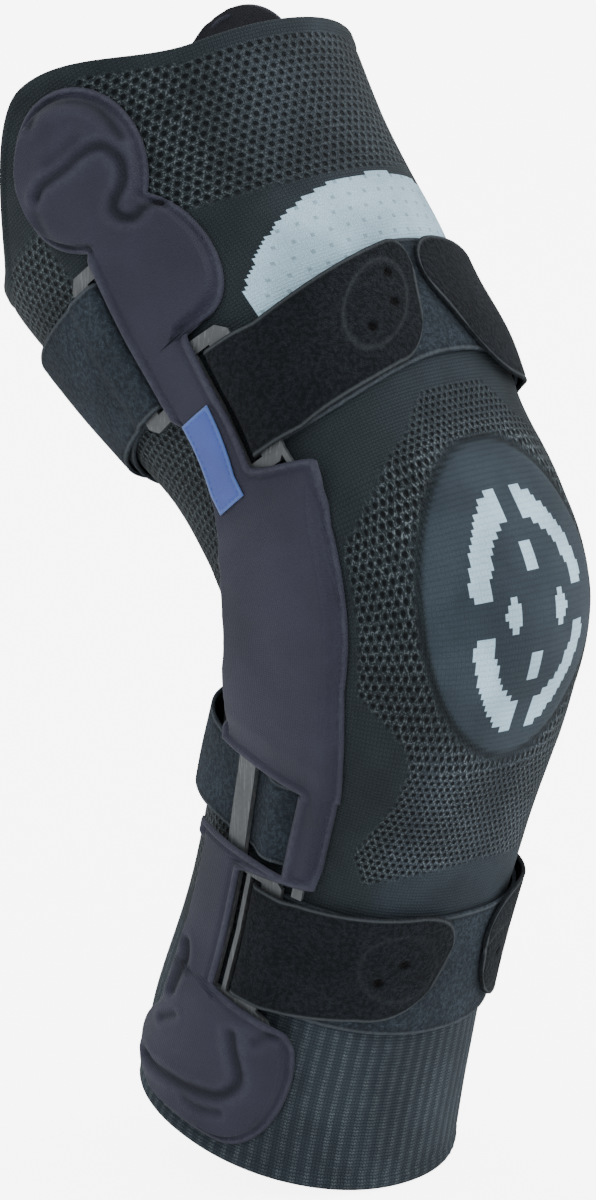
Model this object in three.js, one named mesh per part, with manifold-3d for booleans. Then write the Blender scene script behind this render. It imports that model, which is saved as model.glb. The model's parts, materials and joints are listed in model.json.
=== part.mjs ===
// A hinged knee brace, shaped as it is worn on a bent knee: a knitted sleeve, a flat splint down each
// side inside a smooth fabric cover, and four straps, three of which fold back through the splints.
// Millimetres. The origin is the middle of the knee, +Z is up, the kneecap faces -Y and the outer
// side, which carries the label, faces -X.
import * as THREE from "three";
import { TessellateModifier } from "three/addons/modifiers/TessellateModifier.js";
import { mergeVertices } from "three/addons/utils/BufferGeometryUtils.js";
import Module from "manifold-3d";

const wasm = await Module();
wasm.setup();

// The leg's pose: both halves lean back from the knee, and the bend is spread over bendLength.
const thighLean = THREE.MathUtils.degToRad(38.5);
const calfLean = THREE.MathUtils.degToRad(18.5);
const bendLength = 72;

// The sleeve: its outer size at the knee, its reach from the knee, its wall and its kneecap.
const kneeWidth = 121;
const kneeDepth = 120;
const thighLength = 205;
const calfLength = 206;
const knitWall = 2.2;
const kneecapHeight = 6;
const kneecapReach = 26;
const kneecapAngle = 0.55;

// The layers that lie on the sleeve, and the clearance between two of them.
const clearance = 0.8;
const strapThickness = 1.6;
const armThickness = 2;
const hingeThickness = 6.6;
const coverWall = 1.2;
const labelThickness = 0.8;

// The splint's cover: the middle panel, the stems, and the round paddle and foot at its ends.
const panelTop = 47;
const panelBottom = -54;
const panelWidth = 52;
const stemWidth = 22;
const calfStemWidth = 24;
const flankWidth = 12;
const paddleWidth = 55;
const paddleHeight = 59;
const footWidth = 75;
const footHeight = 56;
const coverShoulder = 3.6;

// The splint inside it: the hinge, the bars that the straps fold round, and the slots beside them.
const hingeHeight = 76;
const hingeCorner = 6;
const slotPlay = 2;
const slotWidth = 5;
const barWidth = 8;
const calfBarWidth = 8.5;
const frameWidth = 1.8;
const frameGap = 2.4;
const loopEnd = 5;
const loopCorner = 3.5;

// The straps: the width of each folded tab, of the band under it, and of the narrow calf strap.
const thighTabWidth = 42;
const thighBandWidth = 46;
const rearTabWidth = 50;
const rearBandWidth = 50;
const calfTabWidth = 45;
const calfBandWidth = 49;
const tieWidth = 32;
const strapRun = 8;
const tieSlack = 3.4;
const tieTuck = 2.5;

// The label that is sewn on the outer cover, and how far it starts above the panel.
const labelWidth = 13;
const labelLength = 34;
const labelRise = 5;

// Where the slots lie along the sleeve, one after the other from the edges of the middle panel.
const slotShoulder = 13;
const rearSlotRise = 36;
const calfSlotDrop = 8;
const paddleRise = 36;
const footDrop = 29;
const thighSlot = {
  low: panelTop + slotShoulder,
  high: panelTop + slotShoulder + thighTabWidth + slotPlay,
};
const rearSlot = {
  low: thighSlot.low + rearSlotRise,
  high: thighSlot.low + rearSlotRise + rearTabWidth + slotPlay,
};
const tieWindow = { low: panelBottom - tieWidth - slotPlay, high: panelBottom };
const calfSlot = {
  low: tieWindow.low - calfSlotDrop - calfTabWidth - slotPlay,
  high: tieWindow.low - calfSlotDrop,
};

// The two sides. sign: the side's direction along X. lean: how far the stem moves to the front for
// each millimetre up. rise: how much higher the paddle ends. setBack: how far the side's middle line
// lies behind the leg's.
const sides = {
  outer: { sign: -1, lean: 0.23, rise: 0, setBack: 0 },
  inner: { sign: 1, lean: -0.04, rise: 42, setBack: 12 },
};

// Levels above the knit. A strap's level is that of its middle, the others are those of the back.
const bandLevel = clearance + strapThickness / 2;
const tabLevel = bandLevel + strapThickness + clearance;
const armLevel = clearance + strapThickness + clearance;
const coverLevel = armLevel + armThickness + clearance;
const overBarLevel = coverLevel + strapThickness / 2;
const panelLevel = clearance + hingeThickness + clearance;
const coverInset = 0.7 * coverWall;
const coverMargin = coverShoulder + coverInset + clearance;

const mix = THREE.MathUtils.lerp;
const { clamp } = THREE.MathUtils;
const ease = (t) => THREE.MathUtils.smoothstep(t, 0, 1);
const shares = (steps) => Array.from({ length: steps + 1 }, (_, i) => i / steps);

// The sleeve's sections. at: share of the thigh's length above the knee, or of the calf's below it.
// width and depth: shares of the size at the knee. forward: how far the section's middle lies in
// front of the leg's line, as a share of the knee's depth. square: the power of its rounded form, 2
// for an ellipse.
const sections = [
  { at: -1.0, width: 0.964, depth: 0.973, forward: -0.027, square: 2.1 },
  { at: -0.85, width: 0.95, depth: 0.965, forward: -0.05, square: 2.1 },
  { at: -0.607, width: 0.893, depth: 0.917, forward: -0.053, square: 2.15 },
  { at: -0.364, width: 0.9, depth: 0.925, forward: -0.063, square: 2.3 },
  { at: -0.243, width: 0.926, depth: 0.917, forward: -0.06, square: 2.4 },
  { at: -0.121, width: 0.975, depth: 0.925, forward: -0.066, square: 2.6 },
  { at: 0.0, width: 1.0, depth: 1.0, forward: -0.042, square: 2.6 },
  { at: 0.122, width: 1.003, depth: 0.962, forward: -0.032, square: 2.6 },
  { at: 0.244, width: 1.0, depth: 0.973, forward: -0.018, square: 2.4 },
  { at: 0.366, width: 1.037, depth: 1.028, forward: -0.006, square: 2.3 },
  { at: 0.488, width: 1.083, depth: 1.092, forward: -0.042, square: 2.2 },
  { at: 0.61, width: 1.157, depth: 1.167, forward: -0.071, square: 2.1 },
  { at: 0.732, width: 1.198, depth: 1.2, forward: -0.1, square: 2.1 },
  { at: 0.854, width: 1.24, depth: 1.25, forward: -0.117, square: 2.05 },
  { at: 1.1, width: 1.273, depth: 1.267, forward: -0.067, square: 2.0 },
];
const stations = sections.map((row) => row.at * (row.at < 0 ? calfLength : thighLength));

// A smooth value between the sections: cubic pieces that take their slope from the neighbours.
function sectionValue(column, s) {
  const last = stations.length - 1;
  const slope = (i) => {
    const [before, after] = [Math.max(i - 1, 0), Math.min(i + 1, last)];
    return (sections[after][column] - sections[before][column]) / (stations[after] - stations[before]);
  };
  let i = 0;
  while (i < last - 1 && s > stations[i + 1]) i += 1;
  const step = stations[i + 1] - stations[i];
  const t = clamp((s - stations[i]) / step, 0, 1);
  const bulge = t * (1 - t) * step * ((1 - t) * slope(i) - t * slope(i + 1));
  return mix(sections[i][column], sections[i + 1][column], t * t * (3 - 2 * t)) + bulge;
}

const halfWidth = (s) => (sectionValue("width", s) * kneeWidth) / 2;

// The leg's line: straight, an arc through the knee, and straight. lean is the angle of its tangent.
function legLine(s) {
  const half = bendLength / 2;
  const turn = (thighLean + calfLean) / bendLength;
  const bent = clamp(s, -half, half);
  const start = turn * half - calfLean;
  const lean = start + turn * bent;
  return {
    lean,
    y: (Math.cos(start) - Math.cos(lean)) / turn + (s - bent) * Math.sin(lean),
    z: (Math.sin(lean) - Math.sin(start)) / turn + (s - bent) * Math.cos(lean),
  };
}

// A point on the knit's outer face. u is the angle round the leg: 0 in front, a quarter turn outside.
function knitPoint(u, s) {
  const { lean, y, z } = legLine(s);
  const across = Math.abs(Math.sin(u)) / halfWidth(s);
  const along = (2 * Math.abs(Math.cos(u))) / (sectionValue("depth", s) * kneeDepth);
  const power = sectionValue("square", s);
  const round = Math.atan2(Math.sin(u), Math.cos(u)) / kneecapAngle;
  const kneecap = kneecapHeight * Math.exp(-((s / kneecapReach) ** 2) - round * round);
  const radius = (across ** power + along ** power) ** (-1 / power) + kneecap;
  const front = radius * Math.cos(u) + sectionValue("forward", s) * kneeDepth;
  return new THREE.Vector3(
    -radius * Math.sin(u),
    y - front * Math.cos(lean),
    z + front * Math.sin(lean),
  );
}

// The point that lies level above the knit, square to its face.
function legPoint(u, s, level) {
  const smallAngle = 0.002;
  const smallStep = 0.5;
  const round = knitPoint(u + smallAngle, s).sub(knitPoint(u - smallAngle, s));
  const up = knitPoint(u, s + smallStep).sub(knitPoint(u, s - smallStep));
  return knitPoint(u, s).addScaledVector(up.cross(round).normalize(), level);
}

// The same with x, the distance in front of the side's middle line, in place of the angle.
function sidePoint(side, x, s, level) {
  return legPoint(-side.sign * (Math.PI / 2 - (x - side.setBack) / halfWidth(s)), s, level);
}

// The leg's middle line in front (direction 1) or behind (-1), in that distance.
const legMiddle = (side, direction, s) => (direction * Math.PI * halfWidth(s)) / 2 + side.setBack;

// A closed solid from points and triangles, with its faces turned outwards.
function closedGeometry(points, triangles) {
  const volume = triangles.reduce(
    (sum, [a, b, c]) => sum + points[a].dot(new THREE.Vector3().crossVectors(points[b], points[c])),
    0,
  );
  const geometry = new THREE.BufferGeometry().setFromPoints(points);
  geometry.setIndex(triangles.flatMap(([a, b, c]) => (volume < 0 ? [a, c, b] : [a, b, c])));
  geometry.computeVertexNormals();
  return geometry;
}

// A wall with two faces over a grid of cells. point(row, column, face) gives each corner, a ring's
// last column joins its first, and isHole(row, column) leaves a cell out.
function wall(rows, columns, isRing, point, isHole = () => false) {
  const cells = isRing ? columns : columns - 1;
  const points = [];
  const numbers = new Map();
  const at = (r, c, face) => {
    const key = (face * rows + r) * columns + (c % columns);
    if (!numbers.has(key)) numbers.set(key, points.push(point(r, c % columns, face)) - 1);
    return numbers.get(key);
  };
  const isSolid = (r, c) => {
    const isInside = r >= 0 && r < rows - 1 && (isRing || (c >= 0 && c < cells));
    return isInside && !isHole(r, (c + cells) % cells);
  };
  const triangles = [];
  const quad = (...[a, b, c, d]) => triangles.push([a, b, c], [a, c, d]);
  for (let r = 0; r < rows - 1; r += 1) {
    for (let c = 0; c < cells; c += 1) {
      if (!isSolid(r, c)) continue;
      const [low, high] = [[r, c], [r, c + 1]];
      const [lowUp, highUp] = [[r + 1, c], [r + 1, c + 1]];
      const close = (from, to) => quad(at(...from, 0), at(...to, 0), at(...to, 1), at(...from, 1));
      quad(at(...low, 0), at(...high, 0), at(...highUp, 0), at(...lowUp, 0));
      quad(at(...low, 1), at(...lowUp, 1), at(...highUp, 1), at(...high, 1));
      if (!isSolid(r, c - 1)) close(low, lowUp);
      if (!isSolid(r, c + 1)) close(highUp, high);
      if (!isSolid(r - 1, c)) close(high, low);
      if (!isSolid(r + 1, c)) close(lowUp, highUp);
    }
  }
  return closedGeometry(points, triangles);
}

// The sleeve's top edge is level in front and lower behind, with a tongue behind each paddle.
const rearDrop = 28;
const dropStart = THREE.MathUtils.degToRad(78);
const dropSpread = THREE.MathUtils.degToRad(42);
const tongues = [
  { middle: THREE.MathUtils.degToRad(76), spread: THREE.MathUtils.degToRad(48), rise: 16.5 },
  { middle: THREE.MathUtils.degToRad(-110), spread: THREE.MathUtils.degToRad(58), rise: 50 },
];
function topEdge(u) {
  const turned = Math.abs(Math.atan2(Math.sin(u), Math.cos(u)));
  const level = thighLength - rearDrop * ease((turned - dropStart) / dropSpread);
  return tongues.reduce((height, { middle, spread, rise }) => {
    const away = Math.abs(Math.atan2(Math.sin(u - middle), Math.cos(u - middle))) / spread;
    return height + rise * ease(1 - away);
  }, level);
}

function knitSleeve() {
  const columns = 32;
  const rows = 23;
  return wall(rows, columns, true, (r, c, face) => {
    const u = (2 * Math.PI * c) / columns;
    return legPoint(u, mix(-calfLength, topEdge(u), r / (rows - 1)), face ? -knitWall : 0);
  });
}

// The thigh stem's middle line and half width: wider at its foot, and leaning from there up.
function stemMiddle(side, s) {
  const foot = panelTop + slotShoulder;
  return 0.1 * stemWidth + Math.max(s - foot, 0) * side.lean;
}
function stemHalf(s) {
  const flare = 0.3 * Math.max(0, 1 - (s - panelTop) / (3 * slotShoulder));
  return (stemWidth / 2) * (1 + flare);
}

// The rounds that end a cover. x and s: the middle, from the stem's middle line and the end's
// height. wide and high: the half axes. All are shares of the end's width and height.
const paddleShares = [
  { x: -0.12, s: 0, wide: 0.5, high: 0.5 },
  { x: 0.21, s: -0.73, wide: 0.345, high: 0.475 },
];
const footShares = [
  { x: -0.12, s: -0.1, wide: 0.3, high: 0.4 },
  { x: 0.19, s: 0.06, wide: 0.31, high: 0.56 },
];
function endRounds(rows, width, height, middle, lineX) {
  return rows.map((row) => {
    const s = middle + row.s * height;
    return { x: lineX(s) + row.x * width, s, rx: row.wide * width, ry: row.high * height };
  });
}
function paddleRounds(side) {
  const middle = rearSlot.high + paddleRise + side.rise;
  return endRounds(paddleShares, paddleWidth, paddleHeight, middle, (s) => stemMiddle(side, s));
}
const footMiddle = calfSlot.low - footDrop;
const footRounds = endRounds(footShares, footWidth, footHeight, footMiddle, () => 0);

// How far the rounds reach at height s, to the front (direction 1) or to the rear (-1).
function roundReach(rounds, direction, s) {
  return rounds.reduce((reach, { x, s: middle, rx, ry }) => {
    const t = (s - middle) / ry;
    return Math.abs(t) < 1 ? Math.max(reach, direction * x + rx * Math.sqrt(1 - t * t)) : reach;
  }, -Infinity);
}

// The middle panel's edges. at: share of the way up. rear and front: shares of its width.
const panelEdges = [
  { at: 0.0, rear: -0.42, front: 0.565 },
  { at: 0.2, rear: -0.49, front: 0.545 },
  { at: 0.38, rear: -0.53, front: 0.51 },
  { at: 0.53, rear: -0.53, front: 0.54 },
  { at: 0.68, rear: -0.5, front: 0.57 },
  { at: 0.82, rear: -0.43, front: 0.605 },
  { at: 0.93, rear: -0.35, front: 0.685 },
  { at: 1.0, rear: -0.3, front: 0.7 },
];
const panelHeights = panelEdges.map((row) => mix(panelBottom, panelTop, row.at));
function panelEdge(direction, s) {
  const column = direction > 0 ? "front" : "rear";
  const above = panelHeights.findIndex((height, k) => k > 0 && s <= height);
  const next = above < 0 ? panelHeights.length - 1 : above;
  const share = (s - panelHeights[next - 1]) / (panelHeights[next] - panelHeights[next - 1]);
  return panelWidth * mix(panelEdges[next - 1][column], panelEdges[next][column], share);
}

// Below the panel: the flank in front of the window, the bar that crosses the window, and the stem.
const flankFront = 0.55 * panelWidth;
const flankRear = flankFront - flankWidth;
const calfStemFront = (s) => (0.06 * calfStemWidth * (calfSlot.high - s)) / calfTabWidth;
const calfBarMiddle = (s) => 0.1 * (tieWindow.high - s) - 0.17 * panelWidth;
const notchDrop = 4;

// The cover's edge at height s, to the front (direction 1) or rear (-1) of the side's middle line.
function thighEdge(side, direction, s) {
  const rounds = paddleRounds(side);
  const stem = s > rounds[0].s ? -Infinity : direction * stemMiddle(side, s) + stemHalf(s);
  const edge = direction * Math.max(stem, roundReach(rounds, direction, s));
  return mix(panelEdge(direction, panelTop), edge, ease((s - panelTop) / slotShoulder));
}
function calfRearEdge(s) {
  if (s >= tieWindow.low) {
    return mix(panelEdge(-1, panelBottom), -calfStemWidth, ease((panelBottom - s) / tieWidth));
  }
  return -Math.max(s < footMiddle ? -Infinity : calfStemWidth, roundReach(footRounds, -1, s));
}
function calfFrontEdge(s) {
  if (s >= tieWindow.low) return flankFront;
  if (s >= calfSlot.high) {
    return mix(flankFront, calfStemFront(calfSlot.high), ease((tieWindow.low - s) / calfSlotDrop));
  }
  if (s >= calfSlot.low) return calfStemFront(s);
  const reach = Math.max(calfStemFront(s), roundReach(footRounds, 1, s));
  return mix(calfStemFront(s), reach, clamp((calfSlot.low - s) / notchDrop, 0, 1));
}
function coverEdge(side, direction, s) {
  if (s >= panelTop) return thighEdge(side, direction, s);
  if (s >= panelBottom) return panelEdge(direction, s);
  return direction > 0 ? calfFrontEdge(s) : calfRearEdge(s);
}

// The rim lies on the knit, and rises over the splint wherever a strap passes under it.
const rimRamp = 7;
const rimOpenings = [
  { direction: 1, low: panelTop - rimRamp, high: thighSlot.high + loopEnd },
  { direction: -1, low: rearSlot.low - loopEnd, high: rearSlot.high + loopEnd },
  { direction: -1, low: tieWindow.low - loopEnd, high: tieWindow.high + loopEnd },
  { direction: 1, low: calfSlot.low - loopEnd, high: tieWindow.low },
];
function rimLevel(direction, s) {
  const raised = rimOpenings
    .filter((opening) => opening.direction === direction)
    .map(({ low, high }) => ease(1 - Math.max(low - s, s - high, 0) / rimRamp));
  return mix(clearance, coverLevel, Math.max(...raised));
}

// The crown lies over the arms, higher over the hinge, and comes down to the knit at both ends.
const crownRamp = 12;
function crownLevel(side, s) {
  const top = paddleRounds(side)[0].s + paddleHeight / 2;
  const bottom = footMiddle - footHeight / 2;
  const past = Math.max(Math.abs(s) - hingeHeight / 2, 0);
  const crown = mix(panelLevel, coverLevel, ease(past / crownRamp));
  return mix(clearance, crown, Math.min(1, (top - s) / coverShoulder, (s - bottom) / coverShoulder));
}

// The heights of the cover's rows: at each turn of its edge, and evenly between.
function coverRows(side) {
  const longest = 20;
  const closest = 0.4;
  const between = (low, high, steps) => shares(steps).map((t) => mix(low, high, t));
  const [paddle, lobe] = paddleRounds(side);
  const [foot] = footRounds;
  const turns = [0.5, 0.75, 0.9, 0.99];
  const marks = [
    ...panelHeights,
    ...between(panelTop, thighSlot.low, 3),
    ...between(calfSlot.high, tieWindow.low, 4),
    ...between(calfSlot.low - notchDrop, calfSlot.low, 4),
    ...[thighSlot.high, rearSlot.high].map((s) => s + loopEnd),
    ...[rearSlot.low, calfSlot.low].map((s) => s - loopEnd),
    ...[paddle.s, lobe.s, foot.s, lobe.s + 0.8 * lobe.ry],
    ...turns.flatMap((t) => [paddle.s + t * paddle.ry, foot.s - t * foot.ry]),
    ...turns.map((t) => lobe.s - t * lobe.ry),
    ...turns.slice(0, 3).flatMap((t) => [paddle.s - t * paddle.ry, foot.s + t * foot.ry]),
  ].sort((a, b) => a - b);
  return marks.flatMap((s, i) => {
    if (i === marks.length - 1) return [s];
    if (marks[i + 1] - s < closest) return [];
    return between(s, marks[i + 1], Math.ceil((marks[i + 1] - s) / longest)).slice(0, -1);
  });
}

// The cover's outer face has its edge, and its inner face is drawn in by a share of the wall. Its
// last two columns of cells are the flank, and the others are left out beside it, as the window.
function splintCover(side) {
  const rows = coverRows(side);
  const inside = shares(4);
  const columns = inside.length + 3;
  const [paddle] = paddleRounds(side);
  const [foot] = footRounds;
  const point = (r, c, face) => {
    const s = rows[r];
    const inset = face ? coverInset : 0;
    const rear = coverEdge(side, -1, s) + inset;
    const front = coverEdge(side, 1, s) - inset;
    const shoulder = Math.min(coverShoulder, (front - rear) / 4);
    const flank = front + inset - Math.min(flankWidth, 0.45 * (front - rear));
    const places = [
      rear,
      ...inside.map((t) => mix(rear + shoulder, flank, t)),
      front - shoulder,
      front,
    ];
    const crown = crownLevel(side, s);
    const rim = Math.min(crown, rimLevel(c === 0 ? -1 : 1, s));
    const level = (c === 0 || c === columns - 1 ? rim : crown) + (face ? 0 : coverWall);
    const nearTop = clamp((s - paddle.s) / paddle.ry, 0, 1) ** 4;
    const nearBottom = clamp((foot.s - s) / foot.ry, 0, 1) ** 4;
    return sidePoint(side, places[c], s + inset * (nearBottom - nearTop), level);
  };
  const isWindow = (r, c) => {
    const s = (rows[r] + rows[r + 1]) / 2;
    return c < inside.length && s > tieWindow.low && s < tieWindow.high;
  };
  return wall(rows.length, columns, false, point, isWindow);
}

// A solid for joining and cutting from a geometry, and a geometry back from it.
function toSolid(geometry) {
  const bare = new THREE.BufferGeometry();
  bare.setAttribute("position", geometry.getAttribute("position"));
  const merged = mergeVertices(bare);
  return new wasm.Manifold(
    new wasm.Mesh({
      numProp: 3,
      vertProperties: new Float32Array(merged.getAttribute("position").array),
      triVerts: new Uint32Array(merged.getIndex().array),
    }),
  );
}
function fromSolid(solid) {
  const { vertProperties, triVerts } = solid.getMesh();
  const geometry = new THREE.BufferGeometry();
  geometry.setAttribute("position", new THREE.BufferAttribute(vertProperties, 3));
  geometry.setIndex(new THREE.BufferAttribute(triVerts, 1));
  return geometry;
}

// A flat plate over an outline of [x, s] points. A cutter reaches past both of its faces.
function flatPlate(outline, thickness = armThickness, reach = 0) {
  const shape = new THREE.Shape(outline.map(([x, s]) => new THREE.Vector2(x, s)));
  const depth = thickness + 2 * reach;
  return toSolid(new THREE.ExtrudeGeometry(shape, { depth, bevelEnabled: false }).translate(0, 0, -reach));
}

// Bends a flat plate on to a side of the leg, with its back at the given level. Its triangles are
// kept short across the leg, where the plate bends most.
function bendPlate(solid, side, level) {
  const longestAcross = 12;
  const longestAlong = 34;
  const mostRounds = 40;
  const squeeze = longestAcross / longestAlong;
  const squeezed = fromSolid(solid).scale(1, squeeze, 1);
  const fine = new TessellateModifier(longestAcross, mostRounds).modify(squeezed);
  const merged = mergeVertices(fine.scale(1, 1 / squeeze, 1));
  const position = merged.getAttribute("position");
  const corners = merged.getIndex().array;
  const points = Array.from({ length: position.count }, (_, i) =>
    sidePoint(side, position.getX(i), position.getY(i), level + position.getZ(i)),
  );
  const triangles = Array.from({ length: corners.length / 3 }, (_, i) =>
    Array.from(corners.slice(3 * i, 3 * i + 3)),
  );
  return closedGeometry(points, triangles);
}

// The outline of a strip between two edges that are functions of height.
function strip(low, high, rear, front, parts) {
  const heights = shares(parts).map((t) => mix(low, high, t));
  return [...heights.map((s) => [rear(s), s]), ...heights.reverse().map((s) => [front(s), s])];
}

// The bar that a strap folds round. near and far: its edges, beside the slot and away from it. root:
// where the slots beside it start, just under the cover. gap: how far the slot lies from the cover.
const coverTuck = 1;
function strapBar(stemEdge, direction, gap) {
  return {
    root: (s) => stemEdge(s) - direction * coverTuck,
    near: (s) => stemEdge(s) + direction * (gap + slotWidth),
    far: (s) => stemEdge(s) + direction * (gap + slotWidth + barWidth),
    direction,
    gap,
  };
}
const thighFrontBar = (side) => strapBar((s) => stemMiddle(side, s) + stemHalf(s), 1, 0);
const thighRearBar = (side) => strapBar((s) => stemMiddle(side, s) - stemHalf(s), -1, 0);
const calfFrontBar = () => strapBar(calfStemFront, 1, frameGap + frameWidth);

// The loop of splint round a slot, with its outer corners cut, and the holes that go through it.
// Where the slot has a gap to the cover, a thin frame runs down between them.
function slotLoop({ root, near, far, direction, gap }, slot) {
  const [low, high] = [slot.low - loopEnd, slot.high + loopEnd];
  const inside = (s) => root(s) - direction * coverMargin;
  const outline = [
    [inside(low), low],
    [far(low) - direction * loopCorner, low],
    [far(low + loopCorner), low + loopCorner],
    [far(high - loopCorner), high - loopCorner],
    [far(high) - direction * loopCorner, high],
    [inside(high), high],
  ];
  const slotRoot = (s) => near(s) - direction * slotWidth;
  const frameEdge = (s) => slotRoot(s) - direction * frameWidth;
  const hole = (rear, front) => strip(slot.low, slot.high, rear, front, 2);
  const holes = gap ? [hole(slotRoot, near), hole(root, frameEdge)] : [hole(root, near)];
  return { outline, holes };
}

// A round of the cover, drawn in to leave room for its rim.
function roundOutline({ x, s, rx, ry }) {
  return shares(12).slice(1).map((t) => [
    x + (rx - coverMargin) * Math.cos(2 * Math.PI * t),
    s + (ry - coverMargin) * Math.sin(2 * Math.PI * t),
  ]);
}

// A splint arm: all its plates joined, then the slots cut.
function armPlate(outlines, holes) {
  const whole = outlines.map((outline) => flatPlate(outline)).reduce((sum, plate) => sum.add(plate));
  return holes.reduce((rest, hole) => rest.subtract(flatPlate(hole, armThickness, 1)), whole);
}

const armStart = hingeHeight / 2 + clearance;

function thighArm(side) {
  const rounds = paddleRounds(side);
  const front = thighFrontBar(side);
  const loops = [slotLoop(front, thighSlot), slotLoop(thighRearBar(side), rearSlot)];
  const stem = strip(
    armStart,
    rounds[0].s,
    (s) => stemMiddle(side, s) - stemHalf(s) + coverMargin,
    (s) => stemMiddle(side, s) + stemHalf(s) - coverMargin,
    6,
  );
  const legs = [
    strip(armStart, thighSlot.low, front.near, (s) => front.near(s) + frameWidth, 2),
    strip(armStart, thighSlot.low, (s) => front.far(s) - frameWidth, front.far, 2),
  ];
  const yoke = strip(armStart, panelTop - frameWidth, (s) => stemMiddle(side, s), front.far, 1);
  const outlines = [stem, yoke, ...legs, ...loops.map((loop) => loop.outline), ...rounds.map(roundOutline)];
  return armPlate(outlines, loops.flatMap((loop) => loop.holes));
}

function calfArm() {
  const loop = slotLoop(calfFrontBar(), calfSlot);
  const bar = strip(
    tieWindow.low - calfSlotDrop,
    -armStart,
    (s) => calfBarMiddle(s) - calfBarWidth / 2,
    (s) => calfBarMiddle(s) + calfBarWidth / 2,
    5,
  );
  const flankMiddle = (flankFront + flankRear) / 2;
  const flankBar = strip(
    calfSlot.high + clearance,
    -armStart,
    () => flankMiddle - frameWidth,
    () => flankMiddle + frameWidth,
    5,
  );
  const yokeLow = (panelBottom - armStart) / 2;
  const yoke = strip(yokeLow, -armStart, calfBarMiddle, () => flankMiddle + frameWidth, 1);
  const stem = strip(
    footMiddle,
    calfSlot.high + clearance,
    () => coverMargin - calfStemWidth,
    (s) => calfStemFront(s) - coverMargin / 2,
    6,
  );
  return armPlate([stem, yoke, bar, flankBar, loop.outline, ...footRounds.map(roundOutline)], loop.holes);
}

// The hinge is one closed plate that fills the panel, with its corners drawn in.
function hingePlate() {
  const reach = hingeHeight / 2;
  const straight = reach - hingeCorner;
  const edge = (direction, s) => {
    const corner = Math.abs(s) > straight ? hingeCorner : 0;
    return panelEdge(direction, s) - direction * (coverMargin + corner);
  };
  const inside = panelHeights.filter((s) => Math.abs(s) < straight);
  const heights = [-reach, -straight, ...inside, straight, reach];
  const rear = heights.map((s) => [edge(-1, s), s]);
  const front = heights.reverse().map((s) => [edge(1, s), s]);
  return flatPlate([...rear, ...front], hingeThickness);
}

// The folded straps. lift: how much higher the band lies at the leg's middle line than at the slot.
// Each side's tab has nose, its width near the end; rise, how much higher it ends than it starts;
// gap, how far it stops before the leg's middle line; slant, how far the end runs back for each
// millimetre down; and tip, the length of its rounded end.
const foldedStraps = {
  thigh_front_strap: {
    bar: thighFrontBar,
    slot: thighSlot,
    width: thighTabWidth,
    band: thighBandWidth,
    lift: 9,
    outer: { nose: 1.1 * thighTabWidth, rise: 8.5, gap: -8, slant: 0.4, tip: 12 },
    inner: { nose: 1.33 * thighTabWidth, rise: 3, gap: -1, slant: 0.35, tip: 20 },
  },
  thigh_rear_strap: {
    bar: thighRearBar,
    slot: rearSlot,
    width: rearTabWidth,
    band: rearBandWidth,
    lift: -9,
    outer: { nose: rearTabWidth, rise: 0, gap: 5, slant: 0, tip: 20 },
    inner: { nose: rearTabWidth, rise: 0, gap: 5, slant: 0, tip: 20 },
  },
  calf_front_strap: {
    bar: calfFrontBar,
    slot: calfSlot,
    width: calfTabWidth,
    band: calfBandWidth,
    lift: 1,
    outer: { nose: calfTabWidth, rise: 5, gap: 0, slant: 0.33, tip: 20 },
    inner: { nose: 1.1 * calfTabWidth, rise: 5, gap: 9, slant: 0.15, tip: 20 },
  },
};

// Half of a folded strap: from the leg's middle line to the slot, round the bar and back over itself
// to the tab's round end. Each stop has its place in front of the side's middle line as a function of
// height, its level, and the middle and half of its width.
function foldedHalf(strap, name) {
  const side = sides[name];
  const { near, far, direction } = strap.bar(side);
  const { nose, rise, gap, slant, tip } = strap[name];
  const slotMiddle = (strap.slot.low + strap.slot.high) / 2;
  const stop = (place, level, width, shift) => ({
    place,
    level,
    half: width / 2,
    middle: slotMiddle + shift,
  });
  const past = (s) => far(s) + direction * strapRun;
  const noseHigh = slotMiddle + rise + nose / 2;
  const middle = (s) => legMiddle(side, direction, s);
  const end = (s) => middle(s) - direction * (gap + slant * (noseHigh - s));
  const noseStart = (s) => end(s) - direction * tip;
  const radius = (overBarLevel - bandLevel) / 2;
  const roundness = 2.3;
  const band = shares(8).map((t) =>
    stop(
      (s) => mix(middle(s), past(s), t),
      bandLevel,
      mix(strap.band, strap.width, t),
      strap.lift * (1 - t),
    ),
  );
  const fold = shares(3).map((t) =>
    stop(
      (s) => near(s) - direction * radius * Math.sin(Math.PI * t),
      bandLevel + radius * (1 - Math.cos(Math.PI * t)),
      strap.width,
      0,
    ),
  );
  const tab = shares(5).map((t) =>
    stop((s) => mix(past(s), noseStart(s), t), tabLevel, mix(strap.width, nose, ease(t)), rise * t),
  );
  const roundEnd = [0.4, 0.7, 0.88, 0.98].map((t) =>
    stop(
      (s) => mix(noseStart(s), end(s), t),
      tabLevel,
      nose * (1 - t ** roundness) ** (1 / roundness),
      rise,
    ),
  );
  return [
    ...band,
    stop(far, bandLevel, strap.width, 0),
    ...fold,
    stop(far, overBarLevel, strap.width, 0),
    ...tab,
    ...roundEnd,
  ];
}

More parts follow.
